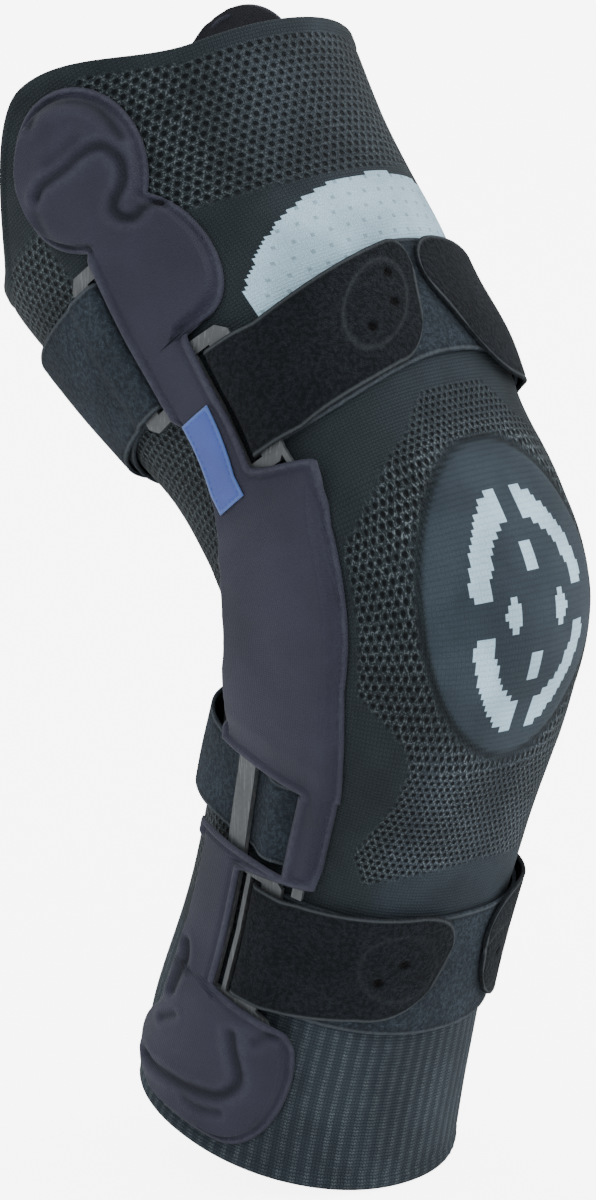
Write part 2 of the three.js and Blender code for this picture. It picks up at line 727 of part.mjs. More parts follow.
// A ribbon along both halves of a strap: at each stop, half its thickness to each side of the path,
// square to the path as it runs there.
function ribbon({ inner, outer }) {
  const columns = 4;
  const rows = inner.length + outer.length - 1;
  return wall(rows, columns, false, (r, c, face) => {
    const isInner = r < inner.length;
    const path = isInner ? inner : outer;
    const i = Math.abs(r - inner.length + 1);
    const share = (2 * c) / (columns - 1) - 1;
    const flat = ({ place, level, middle, half }) =>
      new THREE.Vector2(place(middle + share * half), level);
    const ahead = path[Math.min(i + 1, path.length - 1)];
    const behind = path[Math.max(i - 1, 0)];
    const along = flat(ahead).sub(flat(behind)).normalize();
    const reach = (face ? -strapThickness : strapThickness) / 2;
    const { x, y } = flat(path[i]).add(new THREE.Vector2(-along.y, along.x).multiplyScalar(reach));
    const side = isInner ? sides.inner : sides.outer;
    return sidePoint(side, x, path[i].middle + share * path[i].half, y);
  });
}

// The narrow strap round the back of the calf isn't folded: each end passes under the splint's bar,
// shows in the window, and is tucked under the cover's flank.
function calfRearHalf(side) {
  const middle = (tieWindow.low + tieWindow.high) / 2;
  const barRear = (s) => calfBarMiddle(s) - calfBarWidth / 2;
  const barFront = (s) => calfBarMiddle(s) + calfBarWidth / 2;
  const stop = (place, lift) => ({ place, level: bandLevel + lift, middle, half: tieWidth / 2 });
  const slack = (t) => tieSlack * Math.sin(Math.PI * t) ** 2;
  return [
    ...shares(8).map((t) => stop((s) => mix(legMiddle(side, -1, s), barRear(s), t), slack(t))),
    ...shares(4).map((t) => stop((s) => mix(barFront(s), flankRear, t), slack(t))),
    stop(() => flankRear + tieTuck, 0),
  ];
}

// The label lies flat on the outer stem.
function sideLabel() {
  const rows = shares(5);
  const columns = shares(2);
  return wall(rows.length, columns.length, false, (r, c, face) => {
    const s = panelTop + labelRise + labelLength * rows[r];
    const x = stemMiddle(sides.outer, s) + labelWidth * (columns[c] - 0.5);
    const back = crownLevel(sides.outer, s) + coverWall + clearance;
    return sidePoint(sides.outer, x, s, back + (face ? 0 : labelThickness));
  });
}

const finishes = {
  knit: new THREE.MeshStandardMaterial({ color: 0x3a4148, roughness: 0.95, metalness: 0 }),
  cover: new THREE.MeshStandardMaterial({ color: 0x3c3c4a, roughness: 0.7, metalness: 0 }),
  strap: new THREE.MeshStandardMaterial({ color: 0x2b3036, roughness: 0.95, metalness: 0 }),
  splint: new THREE.MeshStandardMaterial({ color: 0x8c8c88, roughness: 0.45, metalness: 0.6 }),
  label: new THREE.MeshStandardMaterial({ color: 0x4a6cb8, roughness: 0.6, metalness: 0 }),
};

const brace = new THREE.Group();
brace.name = "hinged_knee_brace";
function addPiece(name, geometry, finish) {
  const mesh = new THREE.Mesh(geometry, finishes[finish]);
  mesh.name = name;
  brace.add(mesh);
}

addPiece("knit_sleeve", knitSleeve(), "knit");
for (const [name, side] of Object.entries(sides)) {
  addPiece(`${name}_thigh_arm`, bendPlate(thighArm(side), side, armLevel), "splint");
  addPiece(`${name}_calf_arm`, bendPlate(calfArm(), side, armLevel), "splint");
  addPiece(`${name}_hinge`, bendPlate(hingePlate(), side, clearance), "splint");
  addPiece(`${name}_cover`, splintCover(side), "cover");
}
for (const [name, strap] of Object.entries(foldedStraps)) {
  const halves = { inner: foldedHalf(strap, "inner"), outer: foldedHalf(strap, "outer") };
  addPiece(name, ribbon(halves), "strap");
}
const tieHalves = { inner: calfRearHalf(sides.inner), outer: calfRearHalf(sides.outer) };
addPiece("calf_rear_strap", ribbon(tieHalves), "strap");
addPiece("side_label", sideLabel(), "label");

export default brace;
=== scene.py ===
"""A hinged knee brace as it is worn on a bent knee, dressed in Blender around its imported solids.

Metres. The origin is the middle of the knee, +Z is up, the kneecap faces -Y and the outer side, which
carries the label, faces -X. Shapes are worked out in millimetres on the leg's surface: u is the angle
round the leg, 0 in front and a quarter turn on the outer side, s is the distance up along the leg
from the knee, and level is the height above the knit.
"""

import json
import logging
import math
from collections.abc import Callable, Sequence
from dataclasses import dataclass, field
from enum import Enum
from functools import partial

import bmesh
import bpy
import numpy as np
from mathutils import Matrix, Vector

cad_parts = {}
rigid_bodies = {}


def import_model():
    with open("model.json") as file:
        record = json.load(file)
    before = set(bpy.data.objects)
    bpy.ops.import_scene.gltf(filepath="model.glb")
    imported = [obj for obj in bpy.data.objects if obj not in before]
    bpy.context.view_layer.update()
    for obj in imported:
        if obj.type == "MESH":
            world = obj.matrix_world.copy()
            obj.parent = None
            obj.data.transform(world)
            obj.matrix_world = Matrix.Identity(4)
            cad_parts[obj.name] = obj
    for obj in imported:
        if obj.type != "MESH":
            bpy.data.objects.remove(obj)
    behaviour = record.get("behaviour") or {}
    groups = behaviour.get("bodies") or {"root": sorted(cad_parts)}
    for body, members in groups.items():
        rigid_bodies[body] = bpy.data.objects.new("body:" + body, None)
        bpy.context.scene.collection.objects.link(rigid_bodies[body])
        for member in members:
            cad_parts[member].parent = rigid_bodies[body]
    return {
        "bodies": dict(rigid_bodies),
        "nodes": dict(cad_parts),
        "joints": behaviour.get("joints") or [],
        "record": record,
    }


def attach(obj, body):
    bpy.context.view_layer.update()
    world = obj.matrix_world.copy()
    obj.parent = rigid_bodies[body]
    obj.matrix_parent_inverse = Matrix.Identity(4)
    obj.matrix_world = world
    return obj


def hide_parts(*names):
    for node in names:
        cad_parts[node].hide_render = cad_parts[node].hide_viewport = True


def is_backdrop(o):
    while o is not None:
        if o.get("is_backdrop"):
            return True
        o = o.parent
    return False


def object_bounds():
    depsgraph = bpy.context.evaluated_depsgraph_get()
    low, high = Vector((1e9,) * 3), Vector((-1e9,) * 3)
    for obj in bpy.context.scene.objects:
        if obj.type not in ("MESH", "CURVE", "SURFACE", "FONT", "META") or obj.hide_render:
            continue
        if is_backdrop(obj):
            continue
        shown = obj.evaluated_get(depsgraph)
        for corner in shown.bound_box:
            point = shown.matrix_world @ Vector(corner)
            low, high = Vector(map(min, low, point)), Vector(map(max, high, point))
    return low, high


log = logging.getLogger("knee_brace")

Array = np.ndarray
Piece = bpy.types.Object
Material = bpy.types.Material

MM = 0.001
ROOT = "root"
# millimetres of cloth, and of a strap, in one unit of their flat coordinates
CLOTH_SPAN = 500.0
STRAP_SPAN = 1000.0


class Side(Enum):
    """A side: its direction along X, its stem's lean, its paddle's rise, how far it is set back."""

    OUTER = ("outer", -1.0, 0.23, 0.0, 0.0)
    INNER = ("inner", 1.0, -0.04, 45.5, 12.0)

    def __init__(self, label: str, sign: float, lean: float, rise: float, set_back: float) -> None:
        """Keeps the side's values."""
        self.label = label
        self.sign = sign
        self.lean = lean
        self.rise = rise
        self.set_back = set_back


def ease(t: Array) -> Array:
    """Returns the smooth step of t: 0 below 0, 1 above 1, and 3t^2 - 2t^3 between."""
    t = np.clip(t, 0.0, 1.0)
    return t * t * (3.0 - 2.0 * t)


def bump(x: Array, middle: float, width: float) -> Array:
    """Returns a bell of height 1 at middle: exp(-((x - middle) / width)^2)."""
    return np.exp(-(((x - middle) / width) ** 2))


@dataclass(frozen=True)
class Layers:
    """Thicknesses in mm, and the levels above the knit at which the layers lie."""

    clearance: float = 0.8
    strap: float = 1.6
    arm: float = 2.0
    hinge: float = 6.6
    cover: float = 1.2
    label: float = 0.8

    @property
    def band(self) -> float:
        """Level of the middle of a strap's band."""
        return self.clearance + self.strap / 2

    @property
    def tab(self) -> float:
        """Level of the middle of a folded tab."""
        return self.band + self.strap + self.clearance

    @property
    def cover_level(self) -> float:
        """Level of the cover's inner face over the arms."""
        return 3 * self.clearance + self.strap + self.arm

    @property
    def over_bar(self) -> float:
        """Level of the middle of a strap where it passes over its bar."""
        return self.cover_level + self.strap / 2

    @property
    def panel(self) -> float:
        """Level of the cover's inner face over the hinge."""
        return 2 * self.clearance + self.hinge


@dataclass(frozen=True)
class Leg:
    """The surface of the sleeve on a bent leg, in mm, from the same sections as the solids."""

    thigh_lean: float = math.radians(38.5)
    calf_lean: float = math.radians(18.5)
    bend: float = 72.0
    knee_width: float = 121.0
    knee_depth: float = 120.0
    thigh_length: float = 205.0
    calf_length: float = 206.0
    cap_height: float = 6.0
    cap_reach: float = 26.0
    cap_angle: float = 0.55
    # at, width, depth, forward and square of each section, as in the solids' source
    sections: tuple[tuple[float, float, float, float, float], ...] = (
        (-1.0, 0.964, 0.973, -0.027, 2.1),
        (-0.85, 0.95, 0.965, -0.05, 2.1),
        (-0.607, 0.893, 0.917, -0.053, 2.15),
        (-0.364, 0.9, 0.925, -0.063, 2.3),
        (-0.243, 0.926, 0.917, -0.06, 2.4),
        (-0.121, 0.975, 0.925, -0.066, 2.6),
        (0.0, 1.0, 1.0, -0.042, 2.6),
        (0.122, 1.003, 0.962, -0.032, 2.6),
        (0.244, 1.0, 0.973, -0.018, 2.4),
        (0.366, 1.037, 1.028, -0.006, 2.3),
        (0.488, 1.083, 1.092, -0.042, 2.2),
        (0.61, 1.157, 1.167, -0.071, 2.1),
        (0.732, 1.198, 1.2, -0.1, 2.1),
        (0.854, 1.24, 1.25, -0.117, 2.05),
        (1.1, 1.273, 1.267, -0.067, 2.0),
    )
    # middle angle and spread in degrees, and rise in mm, of the tongues behind the paddles
    tongues: tuple[tuple[float, float, float], ...] = ((76.0, 48.0, 16.5), (-110.0, 58.0, 50.0))
    rear_drop: float = 28.0
    drop_start: float = math.radians(78.0)
    drop_spread: float = math.radians(42.0)

    def stations(self) -> Array:
        """Returns the sections' distances from the knee."""
        at = np.array([row[0] for row in self.sections])
        return at * np.where(at < 0, self.calf_length, self.thigh_length)

    def value(self, column: int, s: Array) -> Array:
        """Works out a section value: cubic pieces with the slope of the neighbouring sections.

        Args:
            column: The value's place in the sections' rows.
            s: Distances along the leg, in mm.

        Returns:
            The value at each distance.
        """
        x, y = self.stations(), np.array([row[column] for row in self.sections])
        last = len(x) - 1
        before, after = np.maximum(np.arange(last + 1) - 1, 0), np.minimum(np.arange(last + 1) + 1, last)
        slope = (y[after] - y[before]) / (x[after] - x[before])
        i = np.clip(np.searchsorted(x, s) - 1, 0, last - 1)
        step = x[i + 1] - x[i]
        t = np.clip((s - x[i]) / step, 0.0, 1.0)
        bulge = t * (1 - t) * step * ((1 - t) * slope[i] - t * slope[i + 1])
        return y[i] + (y[i + 1] - y[i]) * t * t * (3 - 2 * t) + bulge

    def half_width(self, s: Array) -> Array:
        """Returns half the sleeve's width at s."""
        return self.value(1, s) * self.knee_width / 2

    def knit_point(self, u: Array, s: Array) -> Array:
        """Returns points on the knit's outer face.

        The leg's line is straight, an arc through the knee, and straight. Round it runs a rounded
        form of the section's width, depth and power, with a low bell over the kneecap.

        Args:
            u: Angles round the leg, in radians.
            s: Distances along the leg, in mm.

        Returns:
            An array of the same shape with x, y and z in a last axis.
        """
        half, turn = self.bend / 2, (self.thigh_lean + self.calf_lean) / self.bend
        bent = np.clip(s, -half, half)
        start = turn * half - self.calf_lean
        lean = start + turn * bent
        y = (math.cos(start) - np.cos(lean)) / turn + (s - bent) * np.sin(lean)
        z = (np.sin(lean) - math.sin(start)) / turn + (s - bent) * np.cos(lean)
        across = np.abs(np.sin(u)) / self.half_width(s)
        along = 2 * np.abs(np.cos(u)) / (self.value(2, s) * self.knee_depth)
        power = self.value(4, s)
        turned = np.arctan2(np.sin(u), np.cos(u)) / self.cap_angle
        cap = self.cap_height * np.exp(-((s / self.cap_reach) ** 2) - turned**2)
        radius = (across**power + along**power) ** (-1 / power) + cap
        front = radius * np.cos(u) + self.value(3, s) * self.knee_depth
        return np.stack([-radius * np.sin(u), y - front * np.cos(lean), z + front * np.sin(lean)], -1)

    def point(self, u: Array, s: Array, level: Array | float) -> Array:
        """Works out points above the knit, square to its face.

        Args:
            u: Angles round the leg, in radians.
            s: Distances along the leg, in mm.
            level: Heights above the knit, in mm.

        Returns:
            The points.
        """
        u, s, level = np.broadcast_arrays(u, s, level)
        small_angle, small_step = 0.002, 0.5
        round_it = self.knit_point(u + small_angle, s) - self.knit_point(u - small_angle, s)
        up = self.knit_point(u, s + small_step) - self.knit_point(u, s - small_step)
        normal = np.cross(up, round_it)
        normal /= np.linalg.norm(normal, axis=-1, keepdims=True)
        return self.knit_point(u, s) + normal * level[..., None]

    def side_point(self, side: Side, x: Array, s: Array, level: Array) -> Array:
        """Returns the same points with x, the distance in front of the side's middle line."""
        x, s, level = np.broadcast_arrays(x, s, level)
        turned = math.pi / 2 - (x - side.set_back) / self.half_width(s)
        return self.point(-side.sign * turned, s, level)

    def middle(self, side: Side, direction: float, s: Array) -> Array:
        """Returns the leg's middle line in front (1) or behind (-1) as such a distance."""
        return direction * math.pi * self.half_width(s) / 2 + side.set_back

    def top_edge(self, u: Array) -> Array:
        """Returns the sleeve's top edge: lower behind, with a smooth tongue behind each paddle."""
        behind = np.abs(np.arctan2(np.sin(u), np.cos(u))) - self.drop_start
        height = self.thigh_length - self.rear_drop * ease(behind / self.drop_spread)
        for middle, spread, rise in self.tongues:
            turned = u - math.radians(middle)
            away = np.abs(np.arctan2(np.sin(turned), np.cos(turned))) / math.radians(spread)
            height = height + rise * ease(1 - away)
        return height


LEG = Leg()
LAYERS = Layers()


@dataclass(frozen=True)
class Round:
    """One of the rounds that end a cover: its middle and half axes, in mm."""

    x: float
    s: float
    rx: float
    ry: float

    def reach(self, direction: float, s: Array) -> Array:
        """Returns how far the round reaches at s, and minus infinity beyond it."""
        t = (s - self.s) / self.ry
        inside = np.abs(t) < 1
        bulge = self.rx * np.sqrt(np.where(inside, 1 - t * t, 0.0))
        return np.where(inside, direction * self.x + bulge, -np.inf)


@dataclass(frozen=True)
class Slot:
    """A slot's low and high end along the leg, in mm."""

    low: float
    high: float

    @property
    def middle(self) -> float:
        """The slot's middle."""
        return (self.low + self.high) / 2


@dataclass(frozen=True)
class SplintPlan:
    """Where the splint, its slots and its cover lie on a side of the leg, in mm.

    All is as in the solids, apart from the rise of the inner paddle, which is 3.5 mm more.
    """

    panel_top: float = 47.0
    panel_bottom: float = -54.0
    panel_width: float = 52.0
    stem_width: float = 22.0
    calf_stem: float = 24.0
    flank: float = 12.0
    paddle: tuple[float, float] = (55.0, 59.0)
    foot: tuple[float, float] = (75.0, 56.0)
    hinge_height: float = 76.0
    slot_play: float = 2.0
    slot_width: float = 5.0
    bar: float = 8.0
    calf_bar: float = 8.5
    frame: float = 1.8
    frame_gap: float = 2.4
    loop_end: float = 5.0
    tie_width: float = 32.0
    thigh_tab: float = 42.0
    rear_tab: float = 50.0
    calf_tab: float = 45.0
    rear_slot_rise: float = 36.0
    paddle_rise: float = 36.0
    foot_drop: float = 29.0
    slot_shoulder: float = 13.0
    calf_slot_drop: float = 8.0
    notch_drop: float = 4.0
    rim_ramp: float = 7.0
    crown_ramp: float = 12.0
    # share of the way up the panel, and its rear and front edge as shares of its width
    panel_edges: tuple[tuple[float, float, float], ...] = (
        (0.0, -0.42, 0.565),
        (0.2, -0.49, 0.545),
        (0.38, -0.53, 0.51),
        (0.53, -0.53, 0.54),
        (0.68, -0.5, 0.57),
        (0.82, -0.43, 0.605),
        (0.93, -0.35, 0.685),
        (1.0, -0.3, 0.7),
    )

    @property
    def thigh_slot(self) -> Slot:
        """The slot of the strap in front of the thigh."""
        low = self.panel_top + self.slot_shoulder
        return Slot(low, low + self.thigh_tab + self.slot_play)

    @property
    def rear_slot(self) -> Slot:
        """The slot of the strap behind the thigh."""
        low = self.thigh_slot.low + self.rear_slot_rise
        return Slot(low, low + self.rear_tab + self.slot_play)

    @property
    def window(self) -> Slot:
        """The window of the narrow strap."""
        return Slot(self.panel_bottom - self.tie_width - self.slot_play, self.panel_bottom)

    @property
    def calf_slot(self) -> Slot:
        """The slot of the strap in front of the calf."""
        high = self.window.low - self.calf_slot_drop
        return Slot(high - self.calf_tab - self.slot_play, high)

    @property
    def foot_middle(self) -> float:
        """Height of the middle of the foot."""
        return self.calf_slot.low - self.foot_drop

    @property
    def flank_front(self) -> float:
        """Front edge of the flank."""
        return 0.55 * self.panel_width

    def stem_middle(self, side: Side, s: Array) -> Array:
        """Returns the thigh stem's middle line, which leans from the slot's foot up."""
        return 0.1 * self.stem_width + np.maximum(s - self.thigh_slot.low, 0.0) * side.lean

    def stem_half(self, s: Array) -> Array:
        """Returns the thigh stem's half width, wider at its foot."""
        flare = 0.3 * np.maximum(0.0, 1 - (s - self.panel_top) / (3 * self.slot_shoulder))
        return self.stem_width / 2 * (1 + flare)

    def calf_front(self, s: Array) -> Array:
        """Returns the calf stem's front edge."""
        return 0.06 * self.calf_stem * (self.calf_slot.high - s) / self.calf_tab

    def calf_bar_middle(self, s: Array) -> Array:
        """Returns the middle line of the bar that crosses the window."""
        return 0.1 * (self.window.high - s) - 0.17 * self.panel_width

    def paddle_rounds(self, side: Side) -> tuple[Round, Round]:
        """Returns the paddle's two rounds, from shares of its width and height."""
        wide, high = self.paddle
        top = self.rear_slot.high + self.paddle_rise + side.rise
        low = top - 0.73 * high
        first = float(self.stem_middle(side, np.array(top))) - 0.12 * wide
        second = float(self.stem_middle(side, np.array(low))) + 0.21 * wide
        return Round(first, top, 0.5 * wide, 0.5 * high), Round(second, low, 0.345 * wide, 0.475 * high)

    def foot_rounds(self) -> tuple[Round, Round]:
        """Returns the foot's two rounds, from shares of its width and height."""
        wide, high = self.foot
        return (
            Round(-0.12 * wide, self.foot_middle - 0.1 * high, 0.3 * wide, 0.4 * high),
            Round(0.19 * wide, self.foot_middle + 0.06 * high, 0.31 * wide, 0.56 * high),
        )

    def panel_edge(self, direction: float, s: Array) -> Array:
        """Returns the middle panel's edge, along straight pieces between its table's rows."""
        rows = np.array(self.panel_edges)
        heights = self.panel_bottom + (self.panel_top - self.panel_bottom) * rows[:, 0]
        return self.panel_width * np.interp(s, heights, rows[:, 2 if direction > 0 else 1])

    def edge(self, side: Side, direction: float, s: Array) -> Array:
        """Returns the cover's edge at s, to the front (1) or rear (-1) of the side's middle line.

        Above the panel it is the farthest of the stem and the paddle's rounds, below it the flank,
        the calf stem and the foot's rounds, and smooth steps join them.

        Args:
            side: The side.
            direction: 1 for the front edge, -1 for the rear edge.
            s: Distances along the leg, in mm.

        Returns:
            The edge's distance in front of the middle line.
        """
        upper = self._thigh_edge(side, direction, s)
        lower = self._calf_front_edge(s) if direction > 0 else self._calf_rear_edge(s)
        panel = self.panel_edge(direction, s)
        return np.where(s >= self.panel_top, upper, np.where(s >= self.panel_bottom, panel, lower))

    def _thigh_edge(self, side: Side, direction: float, s: Array) -> Array:
        """Returns the edge above the panel."""
        rounds = self.paddle_rounds(side)
        stem = direction * self.stem_middle(side, s) + self.stem_half(s)
        reach = np.where(s > rounds[0].s, -np.inf, stem)
        for one in rounds:
            reach = np.maximum(reach, one.reach(direction, s))
        share = ease((s - self.panel_top) / self.slot_shoulder)
        low = self.panel_edge(direction, np.array(self.panel_top))
        return low + (direction * np.where(np.isfinite(reach), reach, 0.0) - low) * share

    def _calf_rear_edge(self, s: Array) -> Array:
        """Returns the rear edge below the panel."""
        share = ease((self.panel_bottom - s) / self.tie_width)
        high = self.panel_edge(-1, np.array(self.panel_bottom))
        reach = np.where(s < self.foot_middle, -np.inf, self.calf_stem)
        for one in self.foot_rounds():
            reach = np.maximum(reach, one.reach(-1, s))
        low = -np.where(np.isfinite(reach), reach, 0.0)
        return np.where(s >= self.window.low, high + (-self.calf_stem - high) * share, low)

    def _calf_front_edge(self, s: Array) -> Array:
        """Returns the front edge below the panel."""
        stem = self.calf_front(s)
        reach = np.where(s < self.foot_middle, -np.inf, stem)
        for one in self.foot_rounds():
            reach = np.maximum(reach, one.reach(1, s))
        reach = np.where(np.isfinite(reach), reach, 0.0)
        low = stem + (reach - stem) * np.clip((self.calf_slot.low - s) / self.notch_drop, 0, 1)
        start = self.calf_front(np.array(self.calf_slot.high))
        past = ease((self.window.low - s) / self.calf_slot_drop)
        bridge = self.flank_front + (start - self.flank_front) * past
        inner = np.where(s >= self.calf_slot.high, bridge, np.where(s >= self.calf_slot.low, stem, low))
        return np.where(s >= self.window.low, self.flank_front, inner)

    def ends(self, side: Side) -> tuple[float, float]:
        """Returns the cover's lowest and highest s."""
        return self.foot_middle - self.foot[1] / 2, self.paddle_rounds(side)[0].s + self.paddle[1] / 2

    def rim_level(self, direction: float, s: Array) -> Array:
        """Returns the level of the cover's rim: on the knit, and raised where a strap passes under."""
        front = (
            (self.panel_top - self.rim_ramp, self.thigh_slot.high + self.loop_end),
            (self.calf_slot.low - self.loop_end, self.window.low),
        )
        rear = (
            (self.rear_slot.low - self.loop_end, self.rear_slot.high + self.loop_end),
            (self.window.low - self.loop_end, self.window.high + self.loop_end),
        )
        raised = np.zeros_like(s)
        for low, high in front if direction > 0 else rear:
            beyond = np.maximum(np.maximum(low - s, s - high), 0.0)
            raised = np.maximum(raised, ease(1 - beyond / self.rim_ramp))
        return LAYERS.clearance + (LAYERS.cover_level - LAYERS.clearance) * raised

    def crown_level(self, s: Array) -> Array:
        """Returns the level of the cover's inner face over the splint, higher over the hinge."""
        past = np.maximum(np.abs(s) - self.hinge_height / 2, 0.0)
        return LAYERS.panel + (LAYERS.cover_level - LAYERS.panel) * ease(past / self.crown_ramp)


PLAN = SplintPlan()


def between(low: float, high: float, steps: int) -> Array:
    """Returns steps + 1 even values from low to high."""
    return np.linspace(low, high, steps + 1)


def segment_distance(points: Array, line: Array) -> Array:
    """Measures how far points lie from a line of straight pieces, in two dimensions.

    Args:
        points: The points, in an array of any shape with x and y last.
        line: The line's corners.

    Returns:
        The distance of each point to the nearest piece.
    """
    flat = points.reshape(-1, 2)
    best = np.full(len(flat), np.inf)
    for start, end in zip(line[:-1], line[1:]):
        along = end - start
        share = np.clip((flat - start) @ along / max(float(along @ along), 1e-9), 0, 1)
        best = np.minimum(best, np.linalg.norm(flat - start - share[:, None] * along, axis=1))
    return best.reshape(points.shape[:-1])


def smooth_line(corners: Sequence[tuple[float, float]], steps: int = 6) -> Array:
    """Returns a smooth line through the corners: cubic pieces with the slope of the neighbours."""
    p = np.array(corners, float)
    slope = np.gradient(p, axis=0)
    t = np.linspace(0, 1, steps, endpoint=False)[:, None]
    pieces = [
        a + (b - a) * t * t * (3 - 2 * t) + t * (1 - t) * ((1 - t) * m - t * n)
        for a, b, m, n in zip(p[:-1], p[1:], slope[:-1], slope[1:])
    ]
    return np.vstack([*pieces, p[-1:]])


def extend(values: Array, extra: int) -> Array:
    """Returns the rows with the first and the last one repeated extra times beyond each end."""
    return np.concatenate([values[:1].repeat(extra, 0), values, values[-1:].repeat(extra, 0)])


def cell_corners(row: Array, column: Array, after: Array, columns: int) -> Array:
    """Numbers the corners of cells in a grid.

    Args:
        row: Each cell's row.
        column: Its column.
        after: The column at its far side.
        columns: How many columns the grid has.

    Returns:
        The four corners' numbers by cell.
    """
    low, high = row * columns, (row + 1) * columns
    return np.stack([low + column, high + column, high + after, low + after], 1)


def build_grid(
    name: str,
    points: Array,
    uv: Array,
    ring: bool = False,
    keep: Array | None = None,
    masks: dict[str, Array] | None = None,
) -> Piece:
    """Makes a mesh object from a grid of points, each cell one four-sided face.

    Args:
        name: The piece's name.
        points: Rows by columns by 3, in mm. Faces point outwards where rows run up the leg and
            columns run from the front towards the outer side.
        uv: Rows by columns by 2; for a ring, with one more column than the points.
        ring: Whether the last column joins the first.
        keep: Rows - 1 by cells, False where a cell is left out.
        masks: Values per point, kept as attributes.

    Returns:
        The object, linked to the scene, with smooth faces.
    """
    rows, columns = points.shape[:2]
    cells = columns if ring else columns - 1
    r, c = (a.ravel() for a in np.meshgrid(np.arange(rows - 1), np.arange(cells), indexing="ij"))
    faces = cell_corners(r, c, (c + 1) % columns, columns)
    corners = cell_corners(r, c, c + 1, uv.shape[1])
    if keep is not None:
        chosen = keep.ravel()
        faces, corners = faces[chosen], corners[chosen]
    mesh = bpy.data.meshes.new(name)
    mesh.from_pydata((points.reshape(-1, 3) * MM).tolist(), [], faces.tolist())
    layer = mesh.uv_layers.new(name="cloth")
    layer.data.foreach_set("uv", uv.reshape(-1, 2)[corners.ravel()].astype(np.float32).ravel())
    for mask, values in (masks or {}).items():
        attribute = mesh.attributes.new(mask, "FLOAT", "POINT")
        attribute.data.foreach_set("value", values.astype(np.float32).ravel())
    mesh.shade_smooth()
    mesh.update()
    piece = bpy.data.objects.new(name, mesh)
    bpy.context.scene.collection.objects.link(piece)
    return piece


def drop_loose(piece: Piece) -> None:
    """Deletes the vertices that no face uses."""
    net = bmesh.new()
    net.from_mesh(piece.data)
    bmesh.ops.delete(net, geom=[v for v in net.verts if not v.link_faces], context="VERTS")
    net.to_mesh(piece.data)
    net.free()


def close_shell(piece: Piece) -> None:
    """Closes the open ends of a shell with faces and turns all its faces outwards."""
    net = bmesh.new()
    net.from_mesh(piece.data)
    bmesh.ops.holes_fill(net, edges=[edge for edge in net.edges if edge.is_boundary], sides=0)
    bmesh.ops.recalc_face_normals(net, faces=net.faces)
    net.to_mesh(piece.data)
    net.free()
    piece.data.shade_smooth()


def thicken(piece: Piece, wall: float) -> None:
    """Gives a sheet a wall, in mm, behind its face."""
    thick = piece.modifiers.new("wall", "SOLIDIFY")
    thick.thickness = wall * MM
    thick.offset = -1


def hand_over(
    piece: Piece, finish: Material, node: str | None = None
) -> Piece:
    """Gives a piece its finish and says what it rides and what it replaces.

    Args:
        piece: The piece.
        finish: Its material.
        node: The solid that it replaces, if there is one.

    Returns:
        The same piece.
    """
    piece.data.materials.append(finish)
    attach(piece, ROOT)
    if node is not None:
        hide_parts(node)
    return piece


Socket = bpy.types.NodeSocket
Sockets = bpy.types.bpy_prop_collection
Value = Socket | float


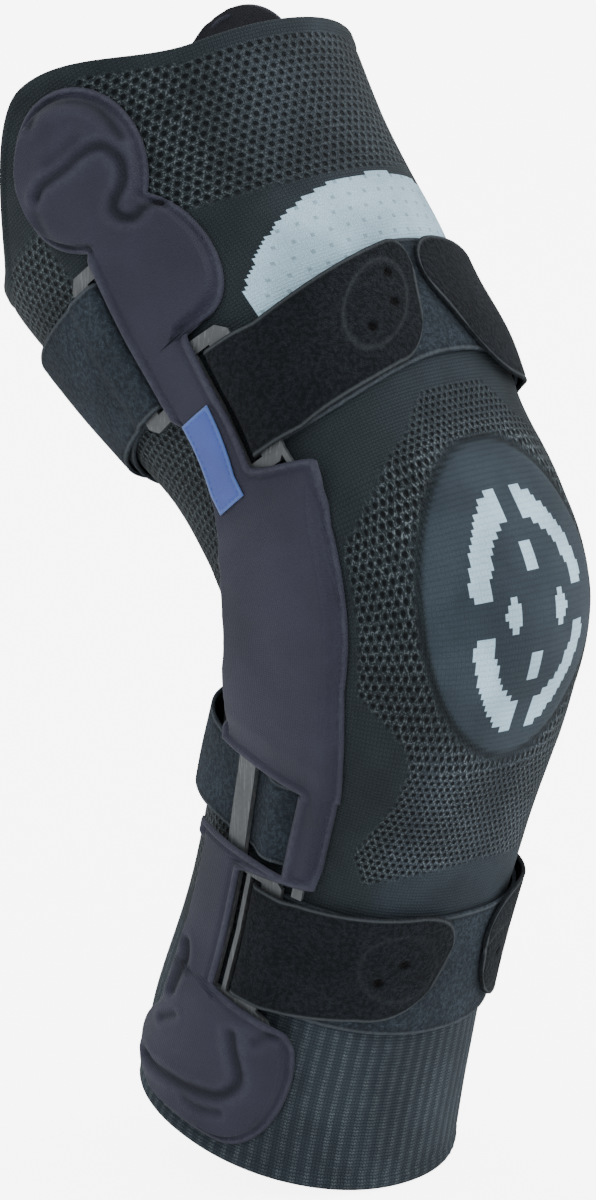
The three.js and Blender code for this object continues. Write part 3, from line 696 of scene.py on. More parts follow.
class Graph:
    """A node tree that is built by calls, each of which returns an output socket."""

    def __init__(self, tree: bpy.types.NodeTree) -> None:
        """Keeps the tree."""
        self.tree = tree

    def node(self, kind: str, **settings: object) -> bpy.types.Node:
        """Adds a node of a kind and sets its plain settings."""
        made = self.tree.nodes.new(kind)
        for key, value in settings.items():
            setattr(made, key, value)
        return made

    def feed(self, socket: Socket, value: object) -> None:
        """Links a socket to the value, or sets it if the value is a number or a colour."""
        if isinstance(value, bpy.types.NodeSocket):
            self.tree.links.new(value, socket)
        else:
            socket.default_value = value

    def math(self, operation: str, *values: Value, clamp: bool = False) -> Socket:
        """Returns the result of a Math node."""
        made = self.node("ShaderNodeMath", operation=operation, use_clamp=clamp)
        for socket, value in zip(made.inputs, values):
            self.feed(socket, value)
        return made.outputs[0]

    def times(self, first: Value, second: Value) -> Socket:
        """Returns the product of two values."""
        return self.math("MULTIPLY", first, second)

    def plus(self, first: Value, second: Value) -> Socket:
        """Returns the sum of two values."""
        return self.math("ADD", first, second)

    def minus(self, first: Value, second: Value) -> Socket:
        """Returns the first value less the second."""
        return self.math("SUBTRACT", first, second)

    def scaled(self, value: Value, factor: Value, offset: Value) -> Socket:
        """Returns the value times a factor, plus an offset."""
        return self.math("MULTIPLY_ADD", value, factor, offset)

    def remap(
        self, value: Value, low: float, high: float, to_low: float = 0.0, to_high: float = 1.0
    ) -> Socket:
        """Carries a value smoothly from one range to another.

        Args:
            value: The value.
            low: Where the first range starts.
            high: Where it ends.
            to_low: What its start becomes.
            to_high: What its end becomes.

        Returns:
            The carried value.
        """
        made = self.node("ShaderNodeMapRange", interpolation_type="SMOOTHSTEP")
        for socket, one in zip(made.inputs, (value, low, high, to_low, to_high)):
            self.feed(socket, one)
        return made.outputs[0]

    def blend(self, share: Value, first: object, second: object, mode: str = "MIX") -> Socket:
        """Mixes two colours.

        Args:
            share: The share of the second.
            first: The first colour.
            second: The second colour.
            mode: The way of mixing.

        Returns:
            The mixed colour.
        """
        made = self.node("ShaderNodeMix", data_type="RGBA", blend_type=mode)
        self.feed(made.inputs[0], share)
        self.feed(made.inputs[6], first)
        self.feed(made.inputs[7], second)
        return made.outputs[2]

    def noise(
        self,
        vector: Socket,
        scale: float,
        detail: float = 2.0,
        stretch: tuple[float, float, float] = (1, 1, 1),
    ) -> Socket:
        """Makes a noise on stretched coordinates.

        Args:
            vector: The coordinates.
            scale: How many cells fit in one unit.
            detail: How many finer layers are added.
            stretch: A factor for each coordinate.

        Returns:
            The noise's value.
        """
        mapping = self.node("ShaderNodeMapping")
        self.feed(mapping.inputs["Vector"], vector)
        mapping.inputs["Scale"].default_value = stretch
        made = self.node("ShaderNodeTexNoise")
        self.feed(made.inputs["Vector"], mapping.outputs[0])
        made.inputs["Scale"].default_value = scale
        made.inputs["Detail"].default_value = detail
        return made.outputs["Fac"]

    def split(self, vector: Socket) -> tuple[Socket, Socket]:
        """Returns a vector's first two values."""
        made = self.node("ShaderNodeSeparateXYZ")
        self.feed(made.inputs[0], vector)
        return made.outputs[0], made.outputs[1]

    def mask(self, name: str) -> Socket:
        """Returns the value of a mesh attribute."""
        return self.node("ShaderNodeAttribute", attribute_name=name).outputs["Fac"]

    def cloth_uv(self) -> Socket:
        """Returns the piece's own flat coordinates."""
        return self.node("ShaderNodeUVMap", uv_map="cloth").outputs[0]

    def place(self) -> Socket:
        """Returns Object coordinates."""
        return self.node("ShaderNodeTexCoord").outputs["Object"]

    def group(self, tree: bpy.types.NodeTree, **values: object) -> Sockets:
        """Places a node group.

        Args:
            tree: The group.
            values: Its inputs, by name with underscores for spaces.

        Returns:
            The group's output sockets.
        """
        made = self.node("ShaderNodeGroup", node_tree=tree)
        for key, value in values.items():
            self.feed(made.inputs[key.replace("_", " ").capitalize()], value)
        return made.outputs

    def dye(self, shader: bpy.types.Node, colour: Socket, tone: Socket) -> None:
        """Feeds the shader's colour, made darker or lighter by a tone."""
        self.feed(shader.inputs["Base Color"], self.blend(1.0, colour, tone, "MULTIPLY"))


def new_group(
    name: str, inputs: Sequence[tuple[str, str, float]], outputs: Sequence[str]
) -> tuple[Graph, Sockets, Sockets]:
    """Starts a shader node group.

    Args:
        name: The group's name.
        inputs: Name, socket type and default of each input; a vector has no default.
        outputs: Names of its value outputs.

    Returns:
        The group's graph, the sockets that bring its inputs, and those that take its outputs.
    """
    tree = bpy.data.node_groups.new(name, "ShaderNodeTree")
    for label, kind, default in inputs:
        socket = tree.interface.new_socket(label, in_out="INPUT", socket_type=kind)
        if kind == "NodeSocketFloat":
            socket.default_value = default
    for label in outputs:
        tree.interface.new_socket(label, in_out="OUTPUT", socket_type="NodeSocketFloat")
    graph = Graph(tree)
    return graph, graph.node("NodeGroupInput").outputs, graph.node("NodeGroupOutput").inputs


VECTOR, FLOAT = "NodeSocketVector", "NodeSocketFloat"


def stitch_group() -> bpy.types.NodeTree:
    """Builds the knit's stitches: columns of slanted loops.

    Height is the product of a groove between columns, |cos(pi x)|, and a wave along them that leans
    up away from the column's middle, cos(2 pi (y + slant |x - 1/2|)). Gap is the painted shade between loops.
    """
    graph, inp, out = new_group(
        "Knit stitches",
        [("Vector", VECTOR, 0), ("Wales", FLOAT, 290), ("Courses", FLOAT, 300), ("Slant", FLOAT, 0.9)],
        ["Height", "Gap"],
    )
    x, y = graph.split(inp["Vector"])
    column = graph.math("FRACT", graph.times(x, inp["Wales"]))
    away = graph.math("ABSOLUTE", graph.minus(column, 0.5))
    row = graph.plus(graph.times(y, inp["Courses"]), graph.times(away, inp["Slant"]))
    wave = graph.math("COSINE", graph.times(row, 2 * math.pi))
    loop = graph.scaled(wave, 0.5, 0.5)
    groove = graph.remap(away, 0.5, 0.28)
    centre = graph.remap(away, 0.0, 0.16)
    height = graph.times(graph.times(loop, groove), graph.scaled(centre, 0.5, 0.5))
    graph.feed(out["Height"], height)
    graph.feed(out["Gap"], graph.remap(height, 0.35, 0.05))
    return graph.tree


def holes_group() -> bpy.types.NodeTree:
    """Builds rows of holes, each row moved by half a step against the last.

    Each hole is 1 - smoothstep of the distance to its cell's middle, measured in the hole's size and
    made uneven by a noise. Rim is a ring of raised tufts round it, which the knit lightens with a painted
    highlight.
    """
    graph, inp, out = new_group(
        "Mesh holes",
        [
            ("Vector", VECTOR, 0),
            ("Across", FLOAT, 96),
            ("Along", FLOAT, 190),
            ("Wide", FLOAT, 0.25),
            ("High", FLOAT, 0.32),
            ("Uneven", FLOAT, 0.9),
        ],
        ["Hole", "Rim"],
    )
    x, y = graph.split(inp["Vector"])
    row = graph.times(y, inp["Along"])
    odd = graph.times(graph.math("MODULO", graph.math("FLOOR", row), 2.0), 0.5)
    column = graph.math("FRACT", graph.plus(graph.times(x, inp["Across"]), odd))
    dx = graph.math("DIVIDE", graph.minus(column, 0.5), inp["Wide"])
    dy = graph.math("DIVIDE", graph.minus(graph.math("FRACT", row), 0.5), inp["High"])
    away = graph.math("SQRT", graph.plus(graph.times(dx, dx), graph.times(dy, dy)))
    frayed = graph.noise(inp["Vector"], 330.0, 2.0)
    spread = graph.times(graph.minus(frayed, 0.5), inp["Uneven"])
    away = graph.plus(away, spread)
    graph.feed(out["Hole"], graph.remap(away, 1.0, 0.5))
    rim = graph.times(graph.remap(away, 1.9, 1.35), graph.remap(away, 0.95, 1.3))
    tufts = graph.remap(graph.noise(inp["Vector"], 560.0, 1.0), 0.46, 0.62)
    graph.feed(out["Rim"], graph.times(rim, tufts))
    return graph.tree


def grain_group() -> bpy.types.NodeTree:
    """Builds a cloth's grain from three noises: fine fibres, small clumps and a wide drift of tone."""
    graph, inp, out = new_group(
        "Cloth grain",
        [("Vector", VECTOR, 0), ("Drift", FLOAT, 0.5)],
        ["Fibre", "Clump", "Tone"],
    )
    vector = inp["Vector"]
    fibre = graph.noise(vector, 2600.0, 2.0)
    clump = graph.noise(vector, 620.0, 3.0)
    wide = graph.noise(vector, 38.0, 2.0)
    graph.feed(out["Fibre"], graph.remap(fibre, 0.3, 0.7))
    graph.feed(out["Clump"], graph.remap(clump, 0.32, 0.68))
    tone = graph.times(graph.minus(graph.remap(wide, 0.3, 0.7), 0.5), inp["Drift"])
    graph.feed(out["Tone"], graph.plus(tone, 1.0))
    return graph.tree


def weave_group() -> bpy.types.NodeTree:
    """Builds a plain weave: two waves across each other, whose larger one shows at each crossing."""
    graph, inp, out = new_group("Fine weave", [("Vector", VECTOR, 0), ("Threads", FLOAT, 900)], ["Height"])
    x, y = graph.split(inp["Vector"])
    turns = graph.times(inp["Threads"], 2 * math.pi)
    warp = graph.math("SINE", graph.times(x, turns))
    weft = graph.math("SINE", graph.times(y, turns))
    graph.feed(out["Height"], graph.math("MAXIMUM", warp, weft))
    return graph.tree


@dataclass
class Effects:
    """The node groups that the finishes share, each built once."""

    stitches: bpy.types.NodeTree = field(default_factory=stitch_group)
    holes: bpy.types.NodeTree = field(default_factory=holes_group)
    grain: bpy.types.NodeTree = field(default_factory=grain_group)
    weave: bpy.types.NodeTree = field(default_factory=weave_group)


Colour = tuple[float, float, float, float]


def start_material(
    name: str, roughness: float, **uniform: float
) -> tuple[Material, Graph, bpy.types.Node]:
    """Starts a material with a Principled shader.

    Args:
        name: The material's name.
        roughness: Its even roughness.
        uniform: Other even values, by socket name with underscores for spaces.

    Returns:
        The material, its graph and its shader node.
    """
    material = bpy.data.materials.new(name)
    material.use_nodes = True
    material.node_tree.nodes.clear()
    graph = Graph(material.node_tree)
    shader = graph.node("ShaderNodeBsdfPrincipled")
    output = graph.node("ShaderNodeOutputMaterial")
    graph.feed(output.inputs["Surface"], shader.outputs[0])
    shader.inputs["Roughness"].default_value = roughness
    for key, value in uniform.items():
        shader.inputs[key.replace("_", " ").title()].default_value = value
    return material, graph, shader


def raise_surface(
    graph: Graph, shader: bpy.types.Node, height: Socket, distance: float, strength: float = 1.0
) -> None:
    """Feeds the shader's Normal from a height.

    Args:
        graph: The material's graph.
        shader: Its shader.
        height: The height, from 0 to 1.
        distance: What a height of 1 stands for, in metres.
        strength: The share of the effect.
    """
    made = graph.node("ShaderNodeBump")
    graph.feed(made.inputs["Height"], height)
    made.inputs["Distance"].default_value = distance
    made.inputs["Strength"].default_value = strength
    graph.feed(shader.inputs["Normal"], made.outputs[0])


@dataclass(frozen=True)
class KnitFinish:
    """The sleeve's knit: dark yarn with mesh, net, rib and plain zones, and pale blue areas."""

    yarn: Colour = (0.0205, 0.0275, 0.0310, 1)
    # The next colour is partly the kneecap's and cuff's own lighter knit and partly painted light on the
    # front.
    knee_yarn_and_painted_light: Colour = (0.031, 0.042, 0.053, 1)
    # The next colour is painted highlight, on the holes' rims and on the tops of the cuff's ribs.
    yarn_painted_highlight: Colour = (0.145, 0.175, 0.190, 1)
    # The next colour is painted shade between the loops and in the mesh's holes; on the kneecap's seam it is
    # the seam's dark line.
    gap: Colour = (0.0020, 0.0028, 0.0036, 1)
    blue: Colour = (0.40, 0.57, 0.67, 1)
    blue_shade: Colour = (0.24, 0.38, 0.48, 1)
    relief: float = 0.0007

    def build(self, effects: Effects) -> Material:
        """Builds the material: zones come from the mesh's masks, stitches from its flat coordinates."""
        material, graph, shader = start_material("sleeve knit", 0.9, sheen_weight=0.03, sheen_roughness=0.5)
        shader.inputs["Specular IOR Level"].default_value = 0.1
        uv = graph.cloth_uv()
        slant = graph.scaled(graph.mask("cap"), -0.9, 0.9)
        stitch = graph.group(effects.stitches, vector=uv, wales=290.0, courses=400.0, slant=slant)
        grain = graph.group(effects.grain, vector=graph.place(), drift=0.35)
        mesh, net, rib, knee = (graph.mask(name) for name in ("mesh", "net", "rib", "knee"))
        big = graph.group(effects.holes, vector=uv, across=112.0, along=161.0, wide=0.34, high=0.40)
        small = graph.group(effects.holes, vector=uv, across=134.0, along=200.0, wide=0.33, high=0.38)
        hole, rim = (
            graph.math("MAXIMUM", graph.times(big[part], mesh), graph.times(small[part], net))
            for part in ("Hole", "Rim")
        )
        loop = stitch["Height"]
        # Lighter knit where the knee mask is high: the kneecap and cuff partly of their own yarn, the front
        # as painted light.
        colour = graph.blend(knee, self.yarn, self.knee_yarn_and_painted_light)
        # Painted shade between the loops, weaker on the kneecap.
        gap = graph.scaled(graph.mask("cap"), -0.27, 0.42)
        colour = graph.blend(graph.times(stitch["Gap"], gap), colour, self.gap)
        # Painted highlights on the holes' rims, stronger where the dots mask is high.
        lit = graph.times(rim, graph.scaled(graph.mask("dots"), 0.55, 0.35))
        colour = graph.blend(lit, colour, self.yarn_painted_highlight)
        # Painted highlight on the tops of the cuff's ribs, broken into clumps.
        ridge = graph.times(rib, graph.times(graph.mask("ridge"), loop))
        painted_highlight = graph.scaled(grain["Clump"], 0.7, 0.28)
        colour = graph.blend(graph.times(ridge, painted_highlight), colour, self.yarn_painted_highlight)
        # Painted shade in the mesh's holes.
        colour = graph.blend(graph.times(hole, 0.92), colour, self.gap)
        colour = graph.blend(graph.times(graph.mask("seam"), 0.55), colour, self.gap)
        # The pale blue knit also gets painted shade between its loops.
        pale = graph.blend(graph.times(stitch["Gap"], 0.4), self.blue, self.blue_shade)
        colour = graph.blend(graph.mask("blue"), colour, pale)
        tone = graph.times(grain["Tone"], graph.scaled(grain["Fibre"], 0.3, 0.85))
        graph.dye(shader, colour, tone)
        depth = graph.scaled(graph.mask("cap"), -0.3, 0.5)
        fibre = graph.times(grain["Fibre"], 0.12)
        stitched = graph.plus(graph.times(loop, depth), fibre)
        stitched = graph.scaled(rim, 0.35, stitched)
        raise_surface(graph, shader, graph.minus(stitched, graph.times(hole, 1.1)), self.relief)
        return material


@dataclass(frozen=True)
class LaminateFinish:
    """The covers' smooth laminate: fine knit face, drifting tone, painted highlights on the high edges and
    painted shade in the grooves.
    """

    face: Colour = (0.0185, 0.0195, 0.0335, 1)
    # The next colour is a painted highlight, for the bead and the grooves' banks.
    painted_highlight: Colour = (0.044, 0.046, 0.068, 1)
    # The next colour is painted shade: in the grooves, and on the paddle's backing, where it is partly the
    # lining cloth's own dark.
    lining: Colour = (0.0035, 0.0035, 0.0075, 1)
    relief: float = 0.0003

    def build(self, effects: Effects) -> Material:
        """Builds the material: the mesh's edge mask says where a painted highlight lightens the rim's bead
        and the grooves' banks.
        """
        material, graph, shader = start_material(
            "cover laminate", 0.66, sheen_weight=0.03, sheen_roughness=0.4
        )
        shader.inputs["Specular IOR Level"].default_value = 0.25
        grain = graph.group(effects.grain, vector=graph.place(), drift=0.30)
        weave = graph.group(effects.weave, vector=graph.cloth_uv(), threads=560.0)
        # Painted highlight on the bead and the grooves' banks, in clumps.
        painted_highlight_share = graph.times(graph.mask("edge"), graph.scaled(grain["Clump"], 0.4, 0.3))
        colour = graph.blend(painted_highlight_share, self.face, self.painted_highlight)
        # Painted shade from the pressed mask, in the grooves and over the paddle's backing.
        colour = graph.blend(graph.mask("pressed"), colour, self.lining)
        tone = graph.times(grain["Tone"], graph.scaled(grain["Fibre"], 0.16, 0.92))
        graph.dye(shader, colour, tone)
        woven = graph.times(weave["Height"], 0.25)
        raise_surface(graph, shader, graph.scaled(grain["Fibre"], 0.4, woven), self.relief)
        return material


@dataclass(frozen=True)
class VelourFinish:
    """The straps' velour: short dense loops, painted shade where pressed, a thin welded edge, and a painted
    highlight on the seal's ring.
    """

    pile: Colour = (0.0115, 0.0158, 0.0205, 1)
    tips: Colour = (0.050, 0.066, 0.085, 1)
    tab_pile: Colour = (0.0026, 0.0036, 0.0050, 1)
    tab_tips: Colour = (0.0205, 0.0250, 0.0315, 1)
    # The next colour is the welded edge's own and also a painted highlight on the seal's ring.
    weld_and_painted_highlight: Colour = (0.10, 0.115, 0.125, 1)
    # The next colour is painted shade, for the seal's holes.
    hole: Colour = (0.0004, 0.0004, 0.0006, 1)
    relief: float = 0.0009

    def build(self, effects: Effects) -> Material:
        """Builds the material: masks give the welded edge, the painted highlight on the seal's ring, and the
        painted shade in the pressed shapes on the tabs.
        """
        material, graph, shader = start_material("strap velour", 0.97, sheen_weight=0.03, sheen_roughness=0.6)
        shader.inputs["Specular IOR Level"].default_value = 0.05
        grain = graph.group(effects.grain, vector=graph.place(), drift=0.30)
        weld_and_painted_highlight, press, tab = graph.mask("weld_and_painted_highlight"), graph.mask("press"), graph.mask("tab")
        speckle = graph.times(grain["Clump"], grain["Fibre"])
        pile = graph.blend(tab, self.pile, self.tab_pile)
        tips = graph.blend(tab, self.tips, self.tab_tips)
        colour = graph.blend(graph.scaled(speckle, 0.75, 0.1), pile, tips)
        # Lighter welded edge, with a painted highlight on the seal's ring.
        colour = graph.blend(graph.times(weld_and_painted_highlight, 0.55), colour, self.weld_and_painted_highlight)
        # Painted shade in the seal's holes and in the groove beside the welded edge.
        colour = graph.blend(graph.times(press, 0.7), colour, self.tab_pile)
        # Painted shade, near black, in the seal's holes.
        colour = graph.blend(graph.mask("hole"), colour, self.hole)
        graph.dye(shader, colour, grain["Tone"])
        height = graph.scaled(grain["Clump"], 0.5, graph.times(grain["Fibre"], 0.3))
        raise_surface(graph, shader, height, self.relief)
        return material


@dataclass(frozen=True)
class MetalFinish:
    """The splints' plain matt aluminium, with fine scratches along the bars."""

    face: Colour = (0.058, 0.063, 0.066, 1)
    scratch: Colour = (0.115, 0.12, 0.125, 1)

    def build(self, effects: Effects) -> Material:
        """Builds the material from a stretched noise and the grain's clumps."""
        material, graph, shader = start_material("splint metal", 0.5, metallic=0.3)
        place = graph.place()
        lines = graph.remap(graph.noise(place, 90.0, 4.0, (14, 14, 0.6)), 0.52, 0.72)
        grain = graph.group(effects.grain, vector=place, drift=0.25)
        colour = graph.blend(lines, self.face, self.scratch)
        graph.dye(shader, colour, grain["Tone"])
        graph.feed(shader.inputs["Roughness"], graph.remap(grain["Clump"], 0.0, 1.0, 0.38, 0.55))
        raise_surface(graph, shader, lines, 0.0001, 0.5)
        return material


@dataclass(frozen=True)
class LabelFinish:
    """The label's satin weave, with a lighter heat-cut border."""

    face: Colour = (0.012, 0.052, 0.330, 1)
    border: Colour = (0.060, 0.140, 0.42, 1)

    def build(self, effects: Effects) -> Material:
        """Builds the material: fine ribs across the label, and the border from its mask."""
        material, graph, shader = start_material("label satin", 0.42, sheen_weight=0.2)
        weave = graph.group(effects.weave, vector=graph.cloth_uv(), threads=1100.0)
        grain = graph.group(effects.grain, vector=graph.place(), drift=0.25)
        colour = graph.blend(graph.times(graph.mask("edge"), 0.8), self.face, self.border)
        tone = graph.times(grain["Tone"], graph.scaled(weave["Height"], 0.08, 0.96))
        graph.dye(shader, colour, tone)
        raise_surface(graph, shader, weave["Height"], 0.00015)
        return material


@dataclass(frozen=True)
class LiningFinish:
    """The sleeve's inner face: the same yarn, plain and a little lighter."""

    yarn: Colour = (0.028, 0.034, 0.040, 1)
    gap: Colour = (0.005, 0.0065, 0.008, 1)

    def build(self, effects: Effects) -> Material:
        """Builds the material from the stitches alone."""
        material, graph, shader = start_material("lining knit", 0.92, sheen_weight=0.03)
        stitch = graph.group(effects.stitches, vector=graph.cloth_uv(), wales=290.0, courses=360.0)
        grain = graph.group(effects.grain, vector=graph.place(), drift=0.3)
        # Painted shade between the lining's loops.
        colour = graph.blend(graph.times(stitch["Gap"], 0.5), self.yarn, self.gap)
        graph.dye(shader, colour, grain["Tone"])
        raise_surface(graph, shader, stitch["Height"], 0.0006)
        return material


@dataclass
class Sleeve:
    """The knitted sleeve: an outer skin with its patterns, turned-in hems, and a plain lining."""

    wales: int = 290
    courses: int = 286
    lining_wales: int = 116
    lining_courses: int = 96
    lift: float = 0.25
    wall: float = 2.2
    ribs: int = 70
    rib_depth: float = 0.4
    rib_top: float = -136.0
    hem: float = 4.5
    hem_lift: float = 0.3
    hem_round: float = 0.6
    hem_rows: tuple[float, ...] = (2.0, 5.0)
    lining_inset: float = 3.0
    cloth_shift: float = 210.0
    # height in mm, and half angle in degrees that the net reaches to
    net_reach: tuple[tuple[float, float], ...] = (
        (-86.0, 45.0),
        (-73.0, 52.0),
        (-59.0, 47.0),
        (-49.0, 43.0),
        (-35.0, 41.0),
        (-29.0, 44.0),
        (-22.0, 54.0),
        (-16.0, 62.0),
        (22.0, 61.0),
        (28.0, 51.0),
        (33.0, 43.0),
        (39.0, 36.0),
        (44.0, 28.0),
        (53.0, 20.0),
        (58.0, 14.0),
    )

    def chart(self) -> tuple[Array, Array]:
        """Returns the angle and height of each corner of the outer skin: even columns and rows."""
        u = 2 * math.pi * np.arange(self.wales) / self.wales
        share = np.linspace(0, 1, self.courses)[:, None]
        low, high = -LEG.calf_length, LEG.top_edge(u)
        return np.broadcast_to(u, (self.courses, self.wales)), low + (high - low) * share

    def crescent(self, u: Array, s: Array) -> Array:
        """Returns whether a place is in the thigh's pale crescent: under a flat arch, down to the strap."""
        beside = np.abs(np.degrees(u) + 12.0)
        arch = 142.3 - 27.0 * (beside / 60.5) ** 2.8
        return (s < arch) & (s > 92.0) & (beside < 61.5)

    def motif(self, u: Array, s: Array) -> Array:
        """Returns whether a place is in the kneecap's pattern: a ring in four arcs round four dots."""
        x, y = np.degrees(u) / 24.0, (s + 0.5) / 25.0
        away, turn = np.hypot(x, y), np.degrees(np.arctan2(y, x))
        gap = np.abs((turn + 45.0) % 90.0 - 45.0) < 10.0
        ring = (away > 0.76) & (away < 1.05) & ~gap
        dots = np.zeros_like(ring)
        for at_x, at_y in ((0, 0.42), (0, -0.42), (0.42, 0), (-0.42, 0)):
            dots |= np.hypot(x - at_x, y - at_y) < 0.13
        return ring | dots

    def zones(self, u: Array, s: Array) -> dict[str, Array]:
        """Returns the masks of the knit's zones, from 0 to 1, by angle and height.

        The kneecap is an oval, and oval is the distance from its middle in its own size. The net
        lies round it, within a half angle that a table gives by height. The mesh covers the thigh
        above the crescent, and the back.
        """
        half = np.degrees(np.abs(u))
        rim = LEG.top_edge(u) - self.hem
        oval = np.hypot(half / 40.0, (s - 2.0) / 34.0)
        rows = np.array(self.net_reach)
        reach = np.interp(s, rows[:, 0], rows[:, 1])
        floor = -74.0 - 12.0 * (half / 48.0) ** 2
        net = ease((oval - 1.03) / 0.05) * ease((reach - half) / 2.5)
        net = net * ease((58 - s) / 2) * ease((s - floor) / 2)
        top = ease((s - 143.5 - 7 * (half / 50) ** 2) / 2) * ease((88 - 24 * ease((s - 176) / 16) - half) / 4)
        back = ease((half - 90) / 4) * ease((s + 128) / 6) * ease((178 - s) / 4)
        mesh = np.clip(top + back, 0, 1) * ease((rim - s) / 1.5)
        rib = ease((self.rib_top - s) / 6)
        cap = ease((1.0 - oval) / 0.03)
        low = ease((-15 - s) / 25) * ease((46 - half) / 14)
        # knee: where the knit is lighter, partly the kneecap's and cuff's own yarn and partly painted light
        # that fades toward the front.
        knee = np.maximum.reduce([cap, 0.8 * rib, 0.8 * low, 0.5 * ease((40 - half) / 30)])
        # dots sets how strongly highlights are painted on the holes' rims: below the knee in front, round the
        # kneecap's top and on the sides.
        dots = bump(half, 18, 14) * (s < -12) + bump(oval, 1.12, 0.12) * (s > 20) + 0.35 * (half > 36)
        return {
            "net": net,
            "mesh": mesh,
            "rib": rib,
            "oval": oval,
            "cap": cap,
            "knee": knee,
            "dots": np.clip(dots, 0, 1),
            "seam": bump(oval, 1.015, 0.018),
        }

    def relief(self, u: Array, s: Array, zones: dict[str, Array]) -> Array:
        """Returns the skin's height: ribs, the kneecap's seam, soft folds behind the knee, and hems."""
        ribs = -self.rib_depth * zones["rib"] * (0.5 - 0.5 * np.cos(self.ribs * u)) ** 2
        oval = zones["oval"]
        seam = 0.5 * ease((1.0 - oval) / 0.08) - 0.6 * bump(oval, 1.02, 0.03) + 0.3 * bump(oval, 1.14, 0.05)
        behind = np.abs(np.arctan2(np.sin(u - math.pi), np.cos(u - math.pi)))
        wave = 0.5 + 0.5 * np.cos(s / 2.6 + 1.4 * np.cos(2.2 * behind))
        folds = -1.3 * np.exp(-((behind / 0.85) ** 2)) * bump(s, 2, 34) * wave
        soft = -0.25 * (0.5 + 0.5 * np.sin(s / 13 + 2.1 * np.sin(2 * u)) * np.cos(3 * u + s / 31))
        edge = np.minimum(s + LEG.calf_length, LEG.top_edge(u) - s)
        hems = 0.45 * ease((self.hem - edge) / 1.5) - 0.35 * bump(edge, self.hem + 0.6, 0.9)
        return self.lift + ribs + seam + folds + soft + hems

    def build(self, finish: Material, plain: Material) -> list[Piece]:
        """Builds the skin with its masks, and the lining behind it.

        Args:
            finish: The skin's material.
            plain: The lining's material.

        Returns:
            The skin, which replaces the solid sleeve, and the lining.
        """
        columns, heights = self.chart()
        turned = np.arctan2(np.sin(columns), np.cos(columns))
        zones = self.zones(turned, heights)
        level = self.relief(turned, heights, zones)
        shape = LEG.point(columns, heights, level)
        low_turn, high_turn = self.turned_hem(False), self.turned_hem(True)
        points = np.concatenate([low_turn, shape, high_turn])
        extra = len(low_turn)
        u_side = np.arange(self.wales + 1) / self.wales
        v_side = extend(np.hstack([heights, heights[:, :1]]) + self.cloth_shift, extra) / CLOTH_SPAN
        uv = np.stack([np.broadcast_to(u_side, v_side.shape), v_side], -1)
        ridge = (0.5 + 0.5 * np.cos(self.ribs * turned)) ** 4
        kept = ("net", "mesh", "rib", "cap", "knee", "dots", "seam")
        masks = {name: extend(zones[name], extra) for name in kept} | {"ridge": extend(ridge, extra)}
        skin = build_grid("sleeve_skin", points, uv, ring=True, masks=masks)
        self.paint(skin, turned, heights, extra)
        return [hand_over(skin, finish, "knit_sleeve"), self.lining(plain)]

    def turned_hem(self, top: bool) -> Array:
        """Works out the rows that turn a rim inwards on a half circle and run back inside it.

        Args:
            top: Whether it is the rim at the top.

        Returns:
            The points by row and column, in the order in which the skin's rows run.
        """
        u = 2 * math.pi * np.arange(self.wales) / self.wales
        rim = LEG.top_edge(u) if top else np.full(self.wales, -LEG.calf_length)
        outward = 1.0 if top else -1.0
        outer_level = self.lift + self.hem_lift
        inner_level = -self.wall
        middle, radius = (outer_level + inner_level) / 2, (outer_level - inner_level) / 2
        rows = []
        for turn in np.linspace(0, math.pi, 7)[1:]:
            s = rim + outward * self.hem_round * math.sin(turn)
            rows.append(LEG.point(u, s, middle + radius * math.cos(turn)))
        for inside in (*self.hem_rows, self.hem):
            rows.append(LEG.point(u, rim - outward * inside, inner_level))
        return np.array(rows if top else rows[::-1])

    def paint(self, skin: Piece, u: Array, s: Array, extra: int) -> None:
        """Marks each stitch that is pale: whole faces, so that the edges step as the knit does.

        Args:
            skin: The skin.
            u: The angle of each corner of the rows between the hems.
            s: Its height.
            extra: The number of rows in each hem.
        """
        middle_u = u[:-1] + math.pi / self.wales
        middle_s = (s[:-1] + s[1:]) / 2
        crescent, motif = self.crescent(middle_u, middle_s), self.motif(middle_u, middle_s)
        row, column = np.indices(middle_s.shape)
        specks = (row % 4 == 0) & ((column + 2 * (row // 4 % 2)) % 5 == 0) & crescent
        blue = (crescent | motif).astype(np.float32) - 0.38 * specks
        blank = np.zeros((extra, self.wales), np.float32)
        values = np.concatenate([blank, blue, blank])
        attribute = skin.data.attributes.new("blue", "FLOAT", "FACE")
        attribute.data.foreach_set("value", values.ravel())

    def lining(self, plain: Material) -> Piece:
        """Builds the inner face, which ends behind the turned hems."""
        u = 2 * math.pi * np.arange(self.lining_wales) / self.lining_wales
        share = np.linspace(0, 1, self.lining_courses)[:, None]
        low, high = -LEG.calf_length + self.lining_inset, LEG.top_edge(u) - self.lining_inset
        s = low + (high - low) * share
        columns = np.broadcast_to(u, s.shape)
        fold = self.relief(np.arctan2(np.sin(columns), np.cos(columns)), s, self.zones(columns, s))
        level = -self.wall + 0.25 + np.minimum(fold, 0.0) * 0.8
        points = LEG.point(columns, s, level)[:, ::-1]
        u_side = np.arange(self.lining_wales + 1) / self.lining_wales
        v_side = (np.hstack([s, s[:, :1]]) + self.cloth_shift) / CLOTH_SPAN
        uv = np.stack([np.broadcast_to(u_side, v_side.shape), v_side], -1)
        return hand_over(build_grid("sleeve_lining", points, uv, ring=True), plain)


@dataclass(frozen=True)
class Groove:
    """A line pressed into a cover: corners forward and up from its place, depth and half width, in mm."""

    corners: tuple[tuple[float, float], ...]
    depth: float
    half: float


